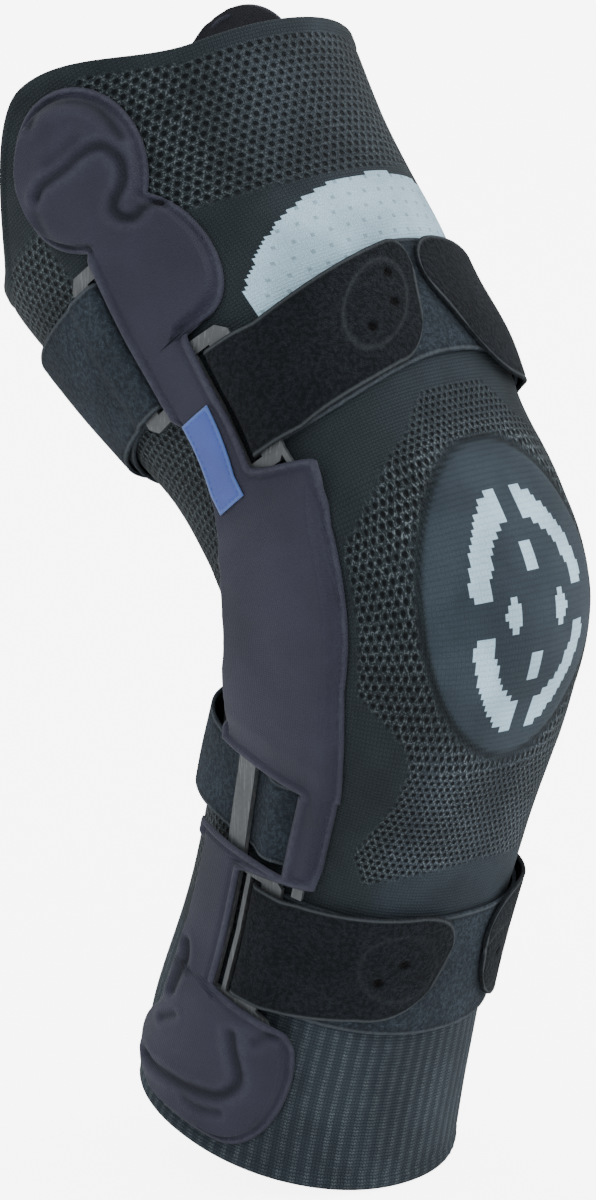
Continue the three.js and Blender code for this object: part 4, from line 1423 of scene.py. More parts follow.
PADDLE_GROOVES = (
    Groove(((-6, 23), (-2, 25), (3, 25), (8, 23), (13, 20), (17, 16), (20, 10), (21.5, 1)), 1.5, 1.7),
    Groove(((-5, 7), (1, 7), (7, 8)), 0.8, 2.2),
    Groove(
        ((-15, 0), (-11, 2), (-6, 2), (0, 2), (6, 3), (11, 3), (15.5, 1), (18, -4), (18, -9), (15.5, -14))
        + ((10, -18), (8, -21), (9, -25), (12, -27), (15, -26), (19, -25.5), (21.5, -26.5)),
        1.9,
        1.5,
    ),
    Groove(((-15, 0), (-18, -4), (-19, -10), (-18, -16), (-15, -22)), 0.7, 1.8),
)
FOOT_GROOVES = (
    Groove(
        ((14, 16), (16, 11), (19, 6), (21, 1), (19.5, -4), (15.5, -8), (10, -10), (2, -12), (-6, -13))
        + ((-15, -14), (-21, -13)),
        1.8,
        1.5,
    ),
    Groove(((3, -16), (9, -16.5), (17, -14)), 1.0, 1.2),
    Groove(((22, 17), (25, 21), (29, 23), (33, 22)), 0.9, 1.4),
    Groove(((-16, 36), (-14, 31), (-15, 24), (-16, 16)), 1.6, 1.6),
    Groove(((-17, 4), (-11, 9)), 1.1, 1.3),
)


@dataclass
class Cover:
    """A splint's cover: a sheet over the splint with a welded bead round its edge and pressed grooves."""

    side: Side
    wide: int = 52
    narrow: int = 16
    step: float = 1.1
    fine_step: float = 0.45
    fine_run: float = 6.0
    end_gap: float = 0.02
    wall: float = 1.2
    bead: float = 0.75
    rise_from: float = 2.3
    rise_to: float = 4.9
    wave: float = 0.22
    backing_start: float = 9.0
    backing_inset: float = 0.7
    backing_level: float = 1.35
    backing_wall: float = 0.5

    def rows(self) -> Array:
        """Works out the heights of the rows: finer at both ends and at the window.

        Returns:
            The heights, in mm, from the foot up.
        """
        low, high = PLAN.ends(self.side)
        window = PLAN.window
        marks = [low, low + self.fine_run, window.low - 5, window.low, window.low + 4, window.high - 4]
        marks += [window.high, window.high + 5, high - self.fine_run, high]
        pieces = []
        for start, end in zip(marks[:-1], marks[1:]):
            step = self.fine_step if end - start <= self.fine_run + self.end_gap else self.step
            pieces.append(between(start, end, math.ceil((end - start) / step))[:-1])
        s = np.concatenate([*pieces, [high]])
        return np.clip(s, low + self.end_gap, high - self.end_gap)

    def outline(self, direction: float, s: Array) -> Array:
        """Returns one edge of the cover as points."""
        return np.stack([PLAN.edge(self.side, direction, s), s], -1)

    def across(self, s: Array) -> Array:
        """Works out the places of the columns: the rear part, then the flank, denser at the edges.

        Args:
            s: The rows' heights, in mm.

        Returns:
            Places by row and column, in mm.
        """
        rear, front = PLAN.edge(self.side, -1, s), PLAN.edge(self.side, 1, s)
        flank = front - np.minimum(PLAN.flank, 0.45 * (front - rear))
        turn = (1 - np.cos(np.linspace(0, math.pi, self.wide + 1))) / 2
        even = np.linspace(0, 1, self.wide + 1)
        spread = 0.55 * turn + 0.45 * even
        short = np.linspace(0, 1, self.narrow + 1)[1:]
        left = rear[:, None] + (flank - rear)[:, None] * spread
        right = flank[:, None] + (front - flank)[:, None] * short
        return np.hstack([left, right])

    def distances(self, flat: Array, s: Array) -> tuple[Array, Array]:
        """Measures how far each corner of the sheet lies from its edges.

        Args:
            flat: Places and heights by row and column, in mm.
            s: The rows' heights, in mm.

        Returns:
            The distance to the outline, and to the nearer of the outline and the window's frame.
        """
        window = PLAN.window
        closed = [
            self.outline(1, s),
            self.outline(-1, s[s >= window.high]),
            self.outline(-1, s[s <= window.low]),
            flat[0],
            flat[-1],
        ]
        inside = (s >= window.low) & (s <= window.high)
        frame = [flat[s == end][0][: self.wide + 1] for end in (window.high, window.low)]
        frame.append(flat[inside, self.wide])
        away = np.min([segment_distance(flat, line) for line in closed], axis=0)
        opening = np.min([segment_distance(flat, line) for line in frame], axis=0)
        return away, np.minimum(away, opening)

    def pressed(self, flat: Array) -> tuple[Array, Array]:
        """Works out the grooves round the splint's ends: a bell across each line, between low banks.

        Args:
            flat: Places and heights by row and column, in mm.

        Returns:
            How deep each corner is pressed, and how high it is raised, in mm.
        """
        deep, raised = np.zeros(flat.shape[:2]), np.zeros(flat.shape[:2])
        paddle, _ = PLAN.paddle_rounds(self.side)
        placed = ((PADDLE_GROOVES, (paddle.x, paddle.s)), (FOOT_GROOVES, (0.0, PLAN.foot_middle)))
        for grooves, place in placed:
            for groove in grooves:
                line = smooth_line([(place[0] + x, place[1] + s) for x, s in groove.corners])
                beside = segment_distance(flat, line)
                deep = np.maximum(deep, groove.depth * bump(beside, 0, groove.half))
                bank = bump(beside, 2.3 * groove.half, 1.1 * groove.half)
                raised = np.maximum(raised, 0.3 * groove.depth * bank)
        return deep, raised

    def outward(self, *grids: Array) -> list[Array]:
        """Returns the grids with their columns in the order that turns the faces outwards."""
        return [grid[:, ::-1] if self.side is Side.OUTER else grid for grid in grids]

    def build(self, finish: Material) -> Piece:
        """Builds the sheet.

        Its level rises from the rim to the crown with the distance from the outline. A bead and a
        groove follow the edges, the pressed lines sink in, and a low wave, the product of a sine up
        the leg and a cosine across it, keeps it from looking stiff.

        Args:
            finish: The cover's material.

        Returns:
            The piece, which replaces the solid cover.
        """
        s = self.rows()
        x = self.across(s)
        rows = np.broadcast_to(s[:, None], x.shape)
        flat = np.stack([x, rows], -1)
        away, nearest = self.distances(flat, s)
        deep, raised = self.pressed(flat)
        middle = (x[:, :1] + x[:, -1:]) / 2
        crown = PLAN.crown_level(rows)
        rim = np.where(x > middle, PLAN.rim_level(1, rows), PLAN.rim_level(-1, rows))
        base = np.minimum(rim, crown)
        level = base + (crown - base) * ease((away - self.rise_from) / (self.rise_to - self.rise_from))
        level = level + self.bead * bump(nearest, 1.5, 0.95) - 0.6 * bump(nearest, 3.4, 0.8)
        level = level - 0.5 * ease((0.7 - nearest) / 0.7)
        level = level - deep + raised
        wave = np.sin(rows / 9.0 + 0.8 * np.sin(x / 7.0)) * np.cos(x / 11.0)
        level = level + self.wave * wave * ease((away - 5) / 6) + self.wall
        window = PLAN.window
        centre = (s[:-1] + s[1:]) / 2
        keep = np.ones((len(s) - 1, x.shape[1] - 1), bool)
        keep[np.ix_((centre > window.low) & (centre < window.high), np.arange(self.wide))] = False
        # edge marks the painted highlight: the bead along the outline and the banks beside the grooves.
        edge = np.clip(bump(nearest, 1.5, 1.0) + 0.9 * raised, 0, 1)
        # Painted shade in the grooves, darker where they are deeper.
        shade = np.clip(0.34 * deep, 0, 0.6)
        points, uv = LEG.side_point(self.side, x, rows, level), flat / CLOTH_SPAN + 0.5
        points, uv, keep, edge, shade = self.outward(points, uv, keep, edge, shade)
        masks = {"edge": edge, "pressed": shade}
        piece = build_grid(f"{self.side.label}_splint_cover", points, uv, keep=keep, masks=masks)
        drop_loose(piece)
        thicken(piece, self.wall)
        return hand_over(piece, finish, f"{self.side.label}_cover")

    def backing(self, finish: Material) -> Piece:
        """Builds the cloth that closes the paddle towards the leg: its outline, a little inside.
        Its dark colour is partly the lining cloth's own and partly painted shade.

        Args:
            finish: The cover's material.

        Returns:
            The piece.
        """
        low, high = PLAN.rear_slot.high + self.backing_start, PLAN.ends(self.side)[1] - self.backing_inset
        s = low + (high - low) * np.sin(np.linspace(0, math.pi / 2, 48))
        s = np.minimum(s, high - self.end_gap)
        rear = PLAN.edge(self.side, -1, s) + self.backing_inset
        front = PLAN.edge(self.side, 1, s) - self.backing_inset
        front = np.maximum(front, rear + 0.1)
        x = rear[:, None] + (front - rear)[:, None] * np.linspace(0, 1, 41)
        rows = np.broadcast_to(s[:, None], x.shape)
        points = LEG.side_point(self.side, x, rows, np.full_like(x, self.backing_level))
        points, uv = self.outward(points, np.stack([x, rows], -1) / CLOTH_SPAN + 0.5)
        blank = np.zeros_like(x)
        # pressed at 1 gives the whole backing the darkest colour, partly the lining cloth's own and partly
        # painted shade.
        masks = {"edge": blank, "pressed": blank + 1}
        piece = build_grid(f"{self.side.label}_paddle_backing", points, uv, masks=masks)
        thicken(piece, self.backing_wall)
        return hand_over(piece, finish)


@dataclass(frozen=True)
class Seal:
    """The shape pressed into a tab: an oval line with holes in it, in mm.

    Its middle lies back from the leg's middle line and up from the slot's middle, and each hole
    lies forward and up from that.
    """

    back: float
    up: float
    long: float
    short: float
    turn: float = 0.0
    clear: float = 1.0
    holes: tuple[tuple[float, float], ...] = ((1.0, 2.0), (-6.4, -6.0))
    line: float = 0.055
    hole_radius: float = 2.1
    hole_edge: float = 0.9

    def masks(self, forward: Array, up: Array) -> tuple[Array, Array]:
        """Works out the holes and the line, a bell across an oval that is turned by the seal's angle.

        Args:
            forward: Places in front of the seal's middle, in mm.
            up: Places above it, in mm.

        Returns:
            The mask of the holes and the mask of the line.
        """
        cosine, sine = math.cos(math.radians(self.turn)), math.sin(math.radians(self.turn))
        along = (forward * cosine + up * sine) / self.long
        across = (up * cosine - forward * sine) / self.short
        ring = self.clear * bump(np.hypot(along, across), 1.0, self.line)
        holes = np.zeros_like(forward)
        for at_x, at_s in self.holes:
            away = np.hypot(forward - at_x, up - at_s)
            holes = np.maximum(holes, ease((self.hole_radius - away) / self.hole_edge))
        return holes, ring


@dataclass(frozen=True)
class Tab:
    """One end of a folded strap: its shape as in the solids, and the seal pressed into it."""

    nose: float
    rise: float
    gap: float
    slant: float
    tip: float = 20.0
    seal: Seal | None = None


def strap_columns(width: float, edge_steps: Sequence[float], columns: int) -> Array:
    """Spreads a strap's columns, closer together at its edges.

    Args:
        width: The strap's width, in mm.
        edge_steps: Distances of the first columns from each edge, in mm.
        columns: The number of even columns between them.

    Returns:
        The columns as shares of the half width, from -1 to 1.
    """
    near = np.array(edge_steps) / (width / 2)
    even = np.linspace(-1 + 1.25 * near[-1], 1 - 1.25 * near[-1], columns)
    return np.concatenate([-1 + near, even, (1 - near)[::-1]])


@dataclass
class Ribbon:
    """A strap's middle surface by row and column, with its half width by row, columns and masks."""

    points: Array
    half: Array
    share: Array
    press: Array
    ring: Array
    tab: Array

    @property
    def run(self) -> Array:
        """Lengths along the middle column up to each row, in mm."""
        steps = np.diff(self.points[:, self.points.shape[1] // 2], axis=0)
        return np.concatenate([[0], np.cumsum(np.linalg.norm(steps, axis=1))])


Line = Callable[[Array], Array]


@dataclass
class StrapRows:
    """The rows of half a strap in the order in which they are laid, each from edge to edge."""

    share: Array
    middle: float
    places: list[Array] = field(default_factory=list)
    heights: list[Array] = field(default_factory=list)
    levels: list[Array] = field(default_factory=list)
    halves: list[float] = field(default_factory=list)
    on_tab: list[bool] = field(default_factory=list)

    def add(
        self,
        lines: tuple[Line, Line],
        t: float,
        level: float,
        width: float,
        shift: float = 0.0,
        on_tab: bool = True,
    ) -> None:
        """Lays one row, t of the way from one line to another.

        Args:
            lines: The two lines, each a function from heights to places.
            t: The share of the way, from 0 to 1.
            level: The row's height above the knit, in mm.
            width: The strap's width there, in mm.
            shift: How far the row's middle lies above the slot's middle, in mm.
            on_tab: Whether the row is on the folded tab.
        """
        s = self.middle + shift + self.share * width / 2
        self.places.append(lines[0](s) * (1 - t) + lines[1](s) * t)
        self.heights.append(s)
        self.levels.append(np.full_like(s, level))
        self.halves.append(width / 2)
        self.on_tab.append(on_tab)


@dataclass
class FoldedStrap:
    """A strap that goes round the leg and through the splint's slots, and folds back over itself."""

    name: str
    direction: float
    edge: Callable[[Side, Array], Array]
    slot: Slot
    width: float
    band: float
    lift: float
    tabs: dict[Side, Tab]
    slot_gap: float = 0.0
    tab_shade: float = 1.0
    run: float = 8.0
    roundness: float = 2.3
    columns: int = 44
    edge_steps: tuple[float, ...] = (0.0, 0.25, 0.6, 1.1, 1.7, 2.4, 3.2)
    band_rows: int = 60
    bar_rows: int = 8
    bend_rows: int = 14
    tab_rows: int = 70
    nose_rows: int = 30

    def lines(self, side: Side) -> dict[str, Line]:
        """Names the lines that one half runs between, each a place for every height.

        Args:
            side: The half's side.

        Returns:
            The leg's middle line, the near and far edge of the bar, the bend before it, the place
            past it where the tab lies down, and the start and end of the tab's nose.
        """
        tab, direction = self.tabs[side], self.direction
        high = self.slot.middle + tab.rise + tab.nose / 2
        radius = (LAYERS.over_bar - LAYERS.band) / 2

        def near(s: Array, further: float = 0.0) -> Array:
            """Returns the bar's near edge, or a line further away from the splint's middle."""
            return self.edge(side, s) + direction * (self.slot_gap + PLAN.slot_width) + direction * further

        def end(s: Array, back: float = 0.0) -> Array:
            """Returns the end of the tab's nose, or a line that far back from it."""
            gap = tab.gap + tab.slant * (high - s)
            return LEG.middle(side, direction, s) - direction * gap - direction * back

        return {
            "middle": partial(LEG.middle, side, direction),
            "near": near,
            "bend": partial(near, further=-radius),
            "far": partial(near, further=PLAN.bar),
            "past": partial(near, further=PLAN.bar + self.run),
            "start": partial(end, back=tab.tip),
            "end": end,
        }

    def lay(self, side: Side) -> StrapRows:
        """Lays one half's rows, from the leg's middle line to the slot, round the bar and to the tab's end.

        The nose narrows as a rounded form does, with a half width of (1 - t^n)^(1/n).

        Args:
            side: The half's side.

        Returns:
            The rows.
        """
        tab, line = self.tabs[side], self.lines(side)
        rows = StrapRows(strap_columns(self.width, self.edge_steps, self.columns), self.slot.middle)
        radius = (LAYERS.over_bar - LAYERS.band) / 2
        for t in between(0, 1, self.band_rows):
            done = float(ease(t))
            width = self.band + (self.width - self.band) * done
            rows.add((line["middle"], line["past"]), t, LAYERS.band, width, self.lift * (1 - done), False)
        for t in between(0, 1, self.bar_rows)[1:]:
            rows.add((line["past"], line["near"]), t, LAYERS.band, self.width, on_tab=False)
        for t in between(0, 1, self.bend_rows)[1:-1]:
            level = LAYERS.band + radius * (1 - math.cos(math.pi * t))
            out = math.sin(math.pi * t)
            rows.add((line["near"], line["bend"]), out, level, self.width, on_tab=t > 0.3)
        for t in between(0, 1, self.bar_rows):
            rows.add((line["near"], line["far"]), t, LAYERS.over_bar, self.width)
        for t in between(0, 1, self.bar_rows)[1:-1]:
            level = LAYERS.over_bar + (LAYERS.tab - LAYERS.over_bar) * float(ease(t))
            rows.add((line["far"], line["past"]), t, level, self.width)
        for t in between(0, 1, self.tab_rows):
            width = self.width + (tab.nose - self.width) * float(ease(t))
            rows.add((line["past"], line["start"]), t, LAYERS.tab, width, tab.rise * t)
        for t in np.sin(between(0, math.pi / 2, self.nose_rows)[1:]):
            width = tab.nose * (1 - min(t, 0.9999) ** self.roundness) ** (1 / self.roundness)
            rows.add((line["start"], line["end"]), t, LAYERS.tab, width, tab.rise)
        return rows

    def half_ribbon(self, side: Side) -> dict[str, Array]:
        """Works out one half's middle surface, its half widths and its masks.

        Args:
            side: The half's side.

        Returns:
            The points, the half widths, and the masks of the holes, the seal's line and the tab.
        """
        rows, seal = self.lay(side), self.tabs[side].seal
        x, s, level = (np.array(part) for part in (rows.places, rows.heights, rows.levels))
        on_tab = np.broadcast_to(np.array(rows.on_tab, float)[:, None], x.shape)
        press, ring = np.zeros_like(x), np.zeros_like(x)
        if seal is not None:
            forward = seal.back - self.direction * (LEG.middle(side, self.direction, s) - x)
            press, ring = seal.masks(forward, s - self.slot.middle - seal.up)
        return {
            "points": LEG.side_point(side, x, s, level),
            "half": np.array(rows.halves),
            "press": press * on_tab,
            "ring": ring * on_tab,
            "tab": on_tab * self.tab_shade,
        }

    def build(self, finish: Material) -> Piece:
        """Builds the strap as one closed shell, from the inner tab's end to the outer tab's end.

        Args:
            finish: The strap's material.

        Returns:
            The piece.
        """
        inner, outer = self.half_ribbon(Side.INNER), self.half_ribbon(Side.OUTER)
        joined = {key: np.concatenate([inner[key][::-1], outer[key][1:]]) for key in inner}
        share = strap_columns(self.width, self.edge_steps, self.columns)
        return strap_shell(self.name, Ribbon(share=share, **joined), finish)


def fold(values: Array) -> Array:
    """Returns a ribbon's values once round its section: over one face and back under the other."""
    return np.concatenate([values, values[:, -2:0:-1]], axis=1)


def strap_shell(
    node: str, ribbon: Ribbon, finish: Material, edge_round: float = 0.8
) -> Piece:
    """Makes a closed shell of half the strap's thickness to each side of a ribbon, with round edges.

    The half thickness at a distance e from the edge is h sqrt(1 - (1 - e / r)^2) up to r, less a
    groove beside the welded edge, and less the ring and holes that are pressed into the tabs.

    Args:
        node: The solid that the shell replaces.
        ribbon: The middle surface and its masks.
        finish: The strap's material.
        edge_round: The distance r over which the edge is rounded, in mm.

    Returns:
        The piece.
    """
    points, run = ribbon.points, ribbon.run
    normal = np.cross(np.gradient(points, axis=0), np.gradient(points, axis=1))
    length = np.linalg.norm(normal, axis=-1, keepdims=True)
    normal = np.where(length > 1e-6, normal / np.maximum(length, 1e-9), 0)
    normal[-1], normal[0] = normal[-2], normal[1]
    away = (1 - np.abs(ribbon.share)) * ribbon.half[:, None]
    from_end = np.minimum(run, run[-1] - run)[:, None]
    reach = np.minimum(away, from_end + 0.02)
    rounded = np.sqrt(np.clip(1 - (1 - np.minimum(reach, edge_round) / edge_round) ** 2, 0, 1))
    thick = LAYERS.strap / 2 * rounded
    sunk = 0.25 * bump(reach, 2.0, 0.55) + (0.32 * ribbon.ring + 0.75 * ribbon.press)
    offset = normal * (thick - np.minimum(sunk, 0.9 * thick))[..., None]
    loop = np.concatenate([points + offset, (points - offset)[:, -2:0:-1]], axis=1)
    flat = away * np.sign(ribbon.share) - ribbon.half[:, None] * np.sign(ribbon.share)
    v_side = fold(flat) / STRAP_SPAN + 0.5
    v_side = np.hstack([v_side, v_side[:, :1]])
    u_side = np.broadcast_to(run[:, None] / STRAP_SPAN, v_side.shape)
    masks = {
        # weld: the welded edge, plus a painted highlight on the seal's ring.
        "weld_and_painted_highlight": fold(np.clip(0.9 * bump(reach, 0.9, 0.5) + 0.3 * ribbon.ring, 0, 1)),
        # press: painted shade in the seal's holes and in the groove beside the welded edge; hole: painted
        # shade in the holes.
        "press": fold(np.clip(ribbon.press + 0.6 * bump(reach, 2.1, 0.5), 0, 1)),
        "hole": fold(ribbon.press),
        "tab": fold(ribbon.tab),
    }
    piece = build_grid(f"{node}_cloth", loop, np.stack([u_side, v_side], -1), ring=True, masks=masks)
    close_shell(piece)
    return hand_over(piece, finish, node)


@dataclass
class TieStrap:
    """The narrow strap behind the calf: under each window bar and into the cover's flank."""

    name: str = "calf_rear_strap"
    slack: float = 3.4
    tuck: float = 2.5
    columns: int = 22
    edge_steps: tuple[float, ...] = (0.0, 0.25, 0.6, 1.1, 1.7, 2.4)

    def half_points(self, side: Side, share: Array) -> Array:
        """Works out one half's middle surface: along the knit, lifted by slack sin^2 between its holds.

        Args:
            side: The half's side.
            share: The columns as shares of the half width.

        Returns:
            The points by row and column.
        """
        s = PLAN.window.middle + share * PLAN.tie_width / 2
        bar = PLAN.calf_bar_middle(s)
        rear, front = bar - PLAN.calf_bar / 2, bar + PLAN.calf_bar / 2
        flank = np.full_like(s, PLAN.flank_front - PLAN.flank)
        rows = []
        for t in between(0, 1, 90):
            lift = self.slack * math.sin(math.pi * t) ** 2
            rows.append((LEG.middle(side, -1, s) * (1 - t) + rear * t, lift))
        for t in between(0, 1, 6)[1:-1]:
            rows.append((rear * (1 - t) + front * t, 0.0))
        for t in between(0, 1, 14):
            rows.append((front * (1 - t) + flank * t, self.slack * math.sin(math.pi * t) ** 2))
        rows.append((flank + self.tuck, 0.0))
        x = np.array([place for place, _ in rows])
        level = LAYERS.band + np.array([lift for _, lift in rows])[:, None]
        return LEG.side_point(side, x, np.broadcast_to(s, x.shape), level)

    def build(self, finish: Material) -> Piece:
        """Builds the strap from both halves.

        Args:
            finish: The strap's material.

        Returns:
            The piece.
        """
        share = strap_columns(PLAN.tie_width, self.edge_steps, self.columns)
        inner, outer = (self.half_points(side, share) for side in (Side.INNER, Side.OUTER))
        path = np.concatenate([inner[::-1], outer[1:]])
        blank = np.zeros(path.shape[:2])
        half = np.full(len(path), PLAN.tie_width / 2)
        return strap_shell(self.name, Ribbon(path, half, share, blank, blank, blank), finish)


def front_stem(side: Side, s: Array) -> Array:
    """Returns the front edge of the thigh stem."""
    return PLAN.stem_middle(side, s) + PLAN.stem_half(s)


def rear_stem(side: Side, s: Array) -> Array:
    """Returns the rear edge of the thigh stem."""
    return PLAN.stem_middle(side, s) - PLAN.stem_half(s)


def calf_stem(side: Side, s: Array) -> Array:
    """Returns the front edge of the calf stem, which is the same on both sides."""
    return PLAN.calf_front(s)


def folded_straps() -> list[FoldedStrap]:
    """Describes the three folded straps, with their tabs as in the solids.

    Returns:
        The straps.
    """
    big = Seal(19.5, 9.0, 19.0, 10.5, 46.0, holes=((9.6, 10.0), (5.8, -2.0), (-6.7, -8.5)))
    faint = Seal(24.0, 5.5, 13.5, 13.5, clear=0.45)
    disc = Seal(24.0, 0.0, 13.0, 13.0)
    return [
        FoldedStrap(
            name="thigh_front_strap",
            direction=1.0,
            edge=front_stem,
            slot=PLAN.thigh_slot,
            width=PLAN.thigh_tab,
            band=46.0,
            lift=9.0,
            tabs={Side.OUTER: Tab(46.2, 8.5, -8.0, 0.4, 12.0, big), Side.INNER: Tab(55.86, 3.0, -1.0, 0.35)},
        ),
        FoldedStrap(
            name="thigh_rear_strap",
            direction=-1.0,
            edge=rear_stem,
            slot=PLAN.rear_slot,
            width=PLAN.rear_tab,
            band=50.0,
            lift=-9.0,
            tabs={side: Tab(50.0, 0.0, 5.0, 0.0, seal=disc) for side in Side},
            tab_shade=0.0,
        ),
        FoldedStrap(
            name="calf_front_strap",
            direction=1.0,
            edge=calf_stem,
            slot=PLAN.calf_slot,
            width=PLAN.calf_tab,
            band=49.0,
            lift=1.0,
            tabs={
                Side.OUTER: Tab(45.0, 5.0, 0.0, 0.33, seal=faint),
                Side.INNER: Tab(49.5, 5.0, 9.0, 0.15, seal=disc),
            },
            slot_gap=PLAN.frame + PLAN.frame_gap,
        ),
    ]


@dataclass
class Label:
    """The bare label on the outer stem, with a heat-cut border and a row of stitches round it."""

    width: float = 13.6
    length: float = 34.0
    rise: float = 5.0
    lift: float = 0.25
    wall_share: float = 0.6
    stitch_inset: float = 1.6
    stitch_sink: float = 0.05
    stitch_pitch: float = 2.3
    stitch_length: float = 1.5
    stitch_radius: float = 0.17
    stitch_steps: int = 5
    stitch_sides: int = 6

    def surface(self, across: Array, up: Array, level: float | Array) -> Array:
        """Works out points on the label.

        Args:
            across: Distances in front of its middle line, in mm.
            up: Distances above its lower edge, in mm.
            level: Heights above its back, in mm.

        Returns:
            The points.
        """
        s = PLAN.panel_top + self.rise + up
        x = PLAN.stem_middle(Side.OUTER, s) + across
        back = PLAN.crown_level(s) + LAYERS.cover + self.lift
        return LEG.side_point(Side.OUTER, x, s, back + level)

    def build(self, finish: Material) -> Piece:
        """Builds the label as a thin sheet with its thickness behind its face.

        Args:
            finish: The label's material.

        Returns:
            The piece, which replaces the solid label.
        """
        across = np.linspace(0.5, -0.5, 27) * self.width
        across, up = np.meshgrid(across, np.linspace(0, 1, 69) * self.length)
        near = np.minimum(self.width / 2 - np.abs(across), np.minimum(up, self.length - up))
        level = LAYERS.label - 0.3 * ease((0.5 - near) / 0.5) - 0.12 * bump(near, 1.6, 0.5)
        uv = np.stack([across / CLOTH_SPAN + 0.5, up / CLOTH_SPAN + 0.5], -1)
        masks = {"edge": bump(near, 0.4, 0.8)}
        piece = build_grid("side_label_cloth", self.surface(across, up, level), uv, masks=masks)
        thicken(piece, self.wall_share * LAYERS.label)
        return hand_over(piece, finish, "side_label")

    def stitch_ends(self) -> tuple[Array, Array]:
        """Spreads the stitches round the label, a little inside its border.

        Returns:
            Each stitch's first and last point, as distances across and up, in mm.
        """
        low = self.stitch_inset
        wide, high = self.width / 2 - low, self.length - low
        corners = np.array([(-wide, low), (wide, low), (wide, high), (-wide, high), (-wide, low)])
        starts, ends = [], []
        for first, last in zip(corners[:-1], corners[1:]):
            side_length = np.linalg.norm(last - first)
            count = round(side_length / self.stitch_pitch)
            centre = first + (last - first) * ((np.arange(count) + 0.5) / count)[:, None]
            step = (last - first) / side_length * self.stitch_length / 2
            starts.append(centre - step)
            ends.append(centre + step)
        return np.concatenate(starts), np.concatenate(ends)

    def stitches(self, finish: Material) -> Piece:
        """Builds the stitches: each a short thread, as a circle carried along a line and round at its ends.

        Args:
            finish: The label's material.

        Returns:
            The piece.
        """
        start, end = self.stitch_ends()
        level = LAYERS.label - self.stitch_sink
        low = self.surface(start[:, 0], start[:, 1], level)
        along = self.surface(end[:, 0], end[:, 1], level) - low
        out = self.surface(start[:, 0], start[:, 1], level + 1) - low
        out /= np.linalg.norm(out, axis=1, keepdims=True)
        beside = np.cross(along, out)
        beside /= np.linalg.norm(beside, axis=1, keepdims=True)
        t = np.linspace(0, 1, self.stitch_steps)
        turn = np.linspace(0, 2 * math.pi, self.stitch_sides + 1)[:-1, None]
        size = self.stitch_radius * np.sqrt(1 - (2 * t - 1) ** 2 * 0.98)
        circle = out[:, None, None] * np.sin(turn) + beside[:, None, None] * np.cos(turn)
        body = low[:, None, None] + along[:, None, None] * t[:, None, None] + size[:, None, None] * circle
        index = np.arange(body.size // 3).reshape(-1, self.stitch_steps, self.stitch_sides)
        a, b = index[:, :-1], index[:, 1:]
        faces = np.stack([a, np.roll(a, -1, 2), np.roll(b, -1, 2), b], -1).reshape(-1, 4).tolist()
        caps = [*index[:, 0, ::-1].tolist(), *index[:, -1].tolist()]
        mesh = bpy.data.meshes.new("label_stitches")
        mesh.from_pydata((body.reshape(-1, 3) * MM).tolist(), [], faces + caps)
        piece = bpy.data.objects.new("label_stitches", mesh)
        bpy.context.scene.collection.objects.link(piece)
        close_shell(piece)
        return hand_over(piece, finish)


@dataclass(frozen=True)
class Lamp:
    """A wide soft lamp that points at the knee: place and size in metres, and power in watts."""

    name: str
    place: tuple[float, float, float]
    size: float
    power: float

    def build(self) -> None:
        """Adds the lamp."""
        lamp = bpy.data.lights.new(self.name, "AREA")
        lamp.shape = "SQUARE"
        lamp.size = self.size
        lamp.energy = self.power
        holder = bpy.data.objects.new(self.name, lamp)
        holder.location = self.place
        holder.rotation_euler = (-Vector(self.place)).to_track_quat("-Z", "Y").to_euler()
        bpy.context.scene.collection.objects.link(holder)


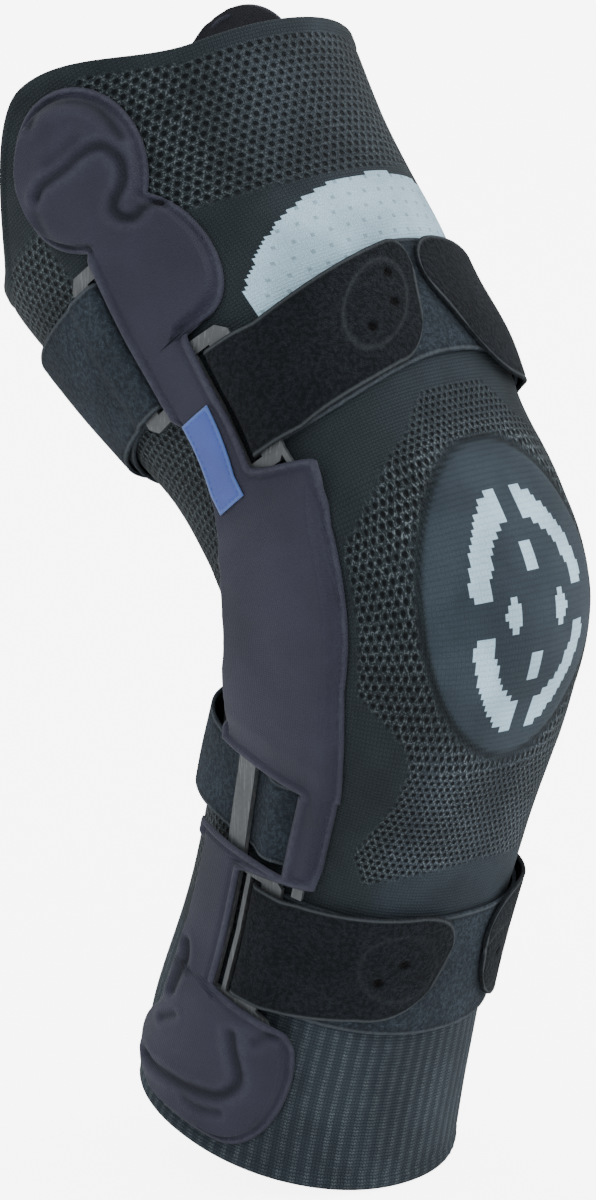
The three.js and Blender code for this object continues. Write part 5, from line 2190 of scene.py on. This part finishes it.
@dataclass
class Studio:
    """The plain pale floor, the soft lights and the camera, in metres and degrees."""

    azimuth: float = -45.0
    elevation: float = 13.0
    distance: float = 2.6
    lens: float = 218.4
    sensor: float = 36.0
    aim_right: float = -0.0421
    aim_up: float = 0.0036
    floor_size: float = 30.0
    floor_drop: float = 0.001
    floor_glow: float = 6.0
    floor_tones: tuple[Colour, Colour] = ((0.90, 0.90, 0.90, 1), (0.92, 0.92, 0.92, 1))
    sky: Colour = (0.96, 0.98, 1.0, 1)
    sky_strength: float = 1.35
    lamps: tuple[Lamp, ...] = (
        Lamp("key light", (-1.5, -1.9, 1.9), 2.2, 28.0),
        Lamp("fill light", (2.2, -1.4, 1.0), 2.4, 52.0),
        Lamp("rim light", (0.3, 2.3, 1.9), 2.0, 24.0),
    )

    def build(self, floor_height: float) -> None:
        """Builds all of it.

        Args:
            floor_height: The height of the brace's lowest point.
        """
        self.floor(floor_height - self.floor_drop)
        self.world()
        for lamp in self.lamps:
            lamp.build()
        self.camera()

    def floor(self, height: float) -> None:
        """Builds the floor as a flat sheet with a pale, faintly uneven finish that seems lit from below.

        Args:
            height: The floor's height.
        """
        half = self.floor_size / 2
        corners = [(-half, -half, height), (half, -half, height), (half, half, height), (-half, half, height)]
        mesh = bpy.data.meshes.new("floor")
        mesh.from_pydata(corners, [], [(0, 1, 2, 3)])
        floor = bpy.data.objects.new("floor", mesh)
        bpy.context.scene.collection.objects.link(floor)
        material, graph, shader = start_material("pale floor", 0.9)
        tone = graph.remap(graph.noise(graph.place(), 0.6, 1.0), 0.3, 0.7)
        graph.feed(shader.inputs["Base Color"], graph.blend(tone, *self.floor_tones))
        seen = graph.node("ShaderNodeLightPath").outputs["Is Camera Ray"]
        shader.inputs["Emission Color"].default_value = (1, 1, 1, 1)
        graph.feed(shader.inputs["Emission Strength"], graph.times(seen, self.floor_glow))
        mesh.materials.append(material)
        floor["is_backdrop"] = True

    def world(self) -> None:
        """Lights the scene evenly from all sides."""
        world = bpy.data.worlds.new("studio")
        world.use_nodes = True
        ground = world.node_tree.nodes["Background"]
        ground.inputs["Color"].default_value = self.sky
        ground.inputs["Strength"].default_value = self.sky_strength
        bpy.context.scene.world = world

    def camera(self) -> None:
        """Places the camera at the photograph's angle, aimed beside the knee as its frame is."""
        turn, rise = math.radians(self.azimuth), math.radians(self.elevation)
        back = Vector((math.sin(turn) * math.cos(rise), -math.cos(turn) * math.cos(rise), math.sin(rise)))
        right = Vector((math.cos(turn), math.sin(turn), 0.0))
        up = back.cross(right)
        lens = bpy.data.cameras.new("camera")
        lens.sensor_fit = "VERTICAL"
        lens.sensor_height = self.sensor
        lens.lens = self.lens
        lens.clip_end = 100.0
        holder = bpy.data.objects.new("camera", lens)
        place = back * self.distance + right * self.aim_right + up * self.aim_up
        holder.matrix_world = Matrix.Translation(place) @ Matrix((right, up, back)).transposed().to_4x4()
        bpy.context.scene.collection.objects.link(holder)
        bpy.context.scene.camera = holder


def dress_splints(frame: dict, finish: Material) -> None:
    """Gives the arms and hinges their metal, on the slots that they already have.

    Args:
        frame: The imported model.
        finish: The metal.
    """
    for side in Side:
        for part in ("thigh_arm", "calf_arm", "hinge"):
            node = frame["nodes"][f"{side.label}_{part}"]
            for slot in node.material_slots:
                slot.material = finish


def main() -> None:
    """Builds the brace's pieces in order, then the studio."""
    logging.basicConfig(level=logging.INFO, format="%(name)s: %(message)s")
    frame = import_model()
    cad_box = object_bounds()
    effects = Effects()
    strap_finish = VelourFinish().build(effects)
    cover_finish = LaminateFinish().build(effects)
    label_finish = LabelFinish().build(effects)
    dress_splints(frame, MetalFinish().build(effects))
    pieces = Sleeve().build(KnitFinish().build(effects), LiningFinish().build(effects))
    pieces += [Cover(side).build(cover_finish) for side in Side]
    pieces += [Cover(side).backing(cover_finish) for side in Side]
    pieces += [strap.build(strap_finish) for strap in folded_straps()]
    pieces += [TieStrap().build(strap_finish), Label().build(label_finish), Label().stitches(label_finish)]
    for piece in pieces:
        log.info("%s: %d faces", piece.name, len(piece.data.polygons))
    Studio().build(cad_box[0][2])


if __name__ == "__main__":
    main()
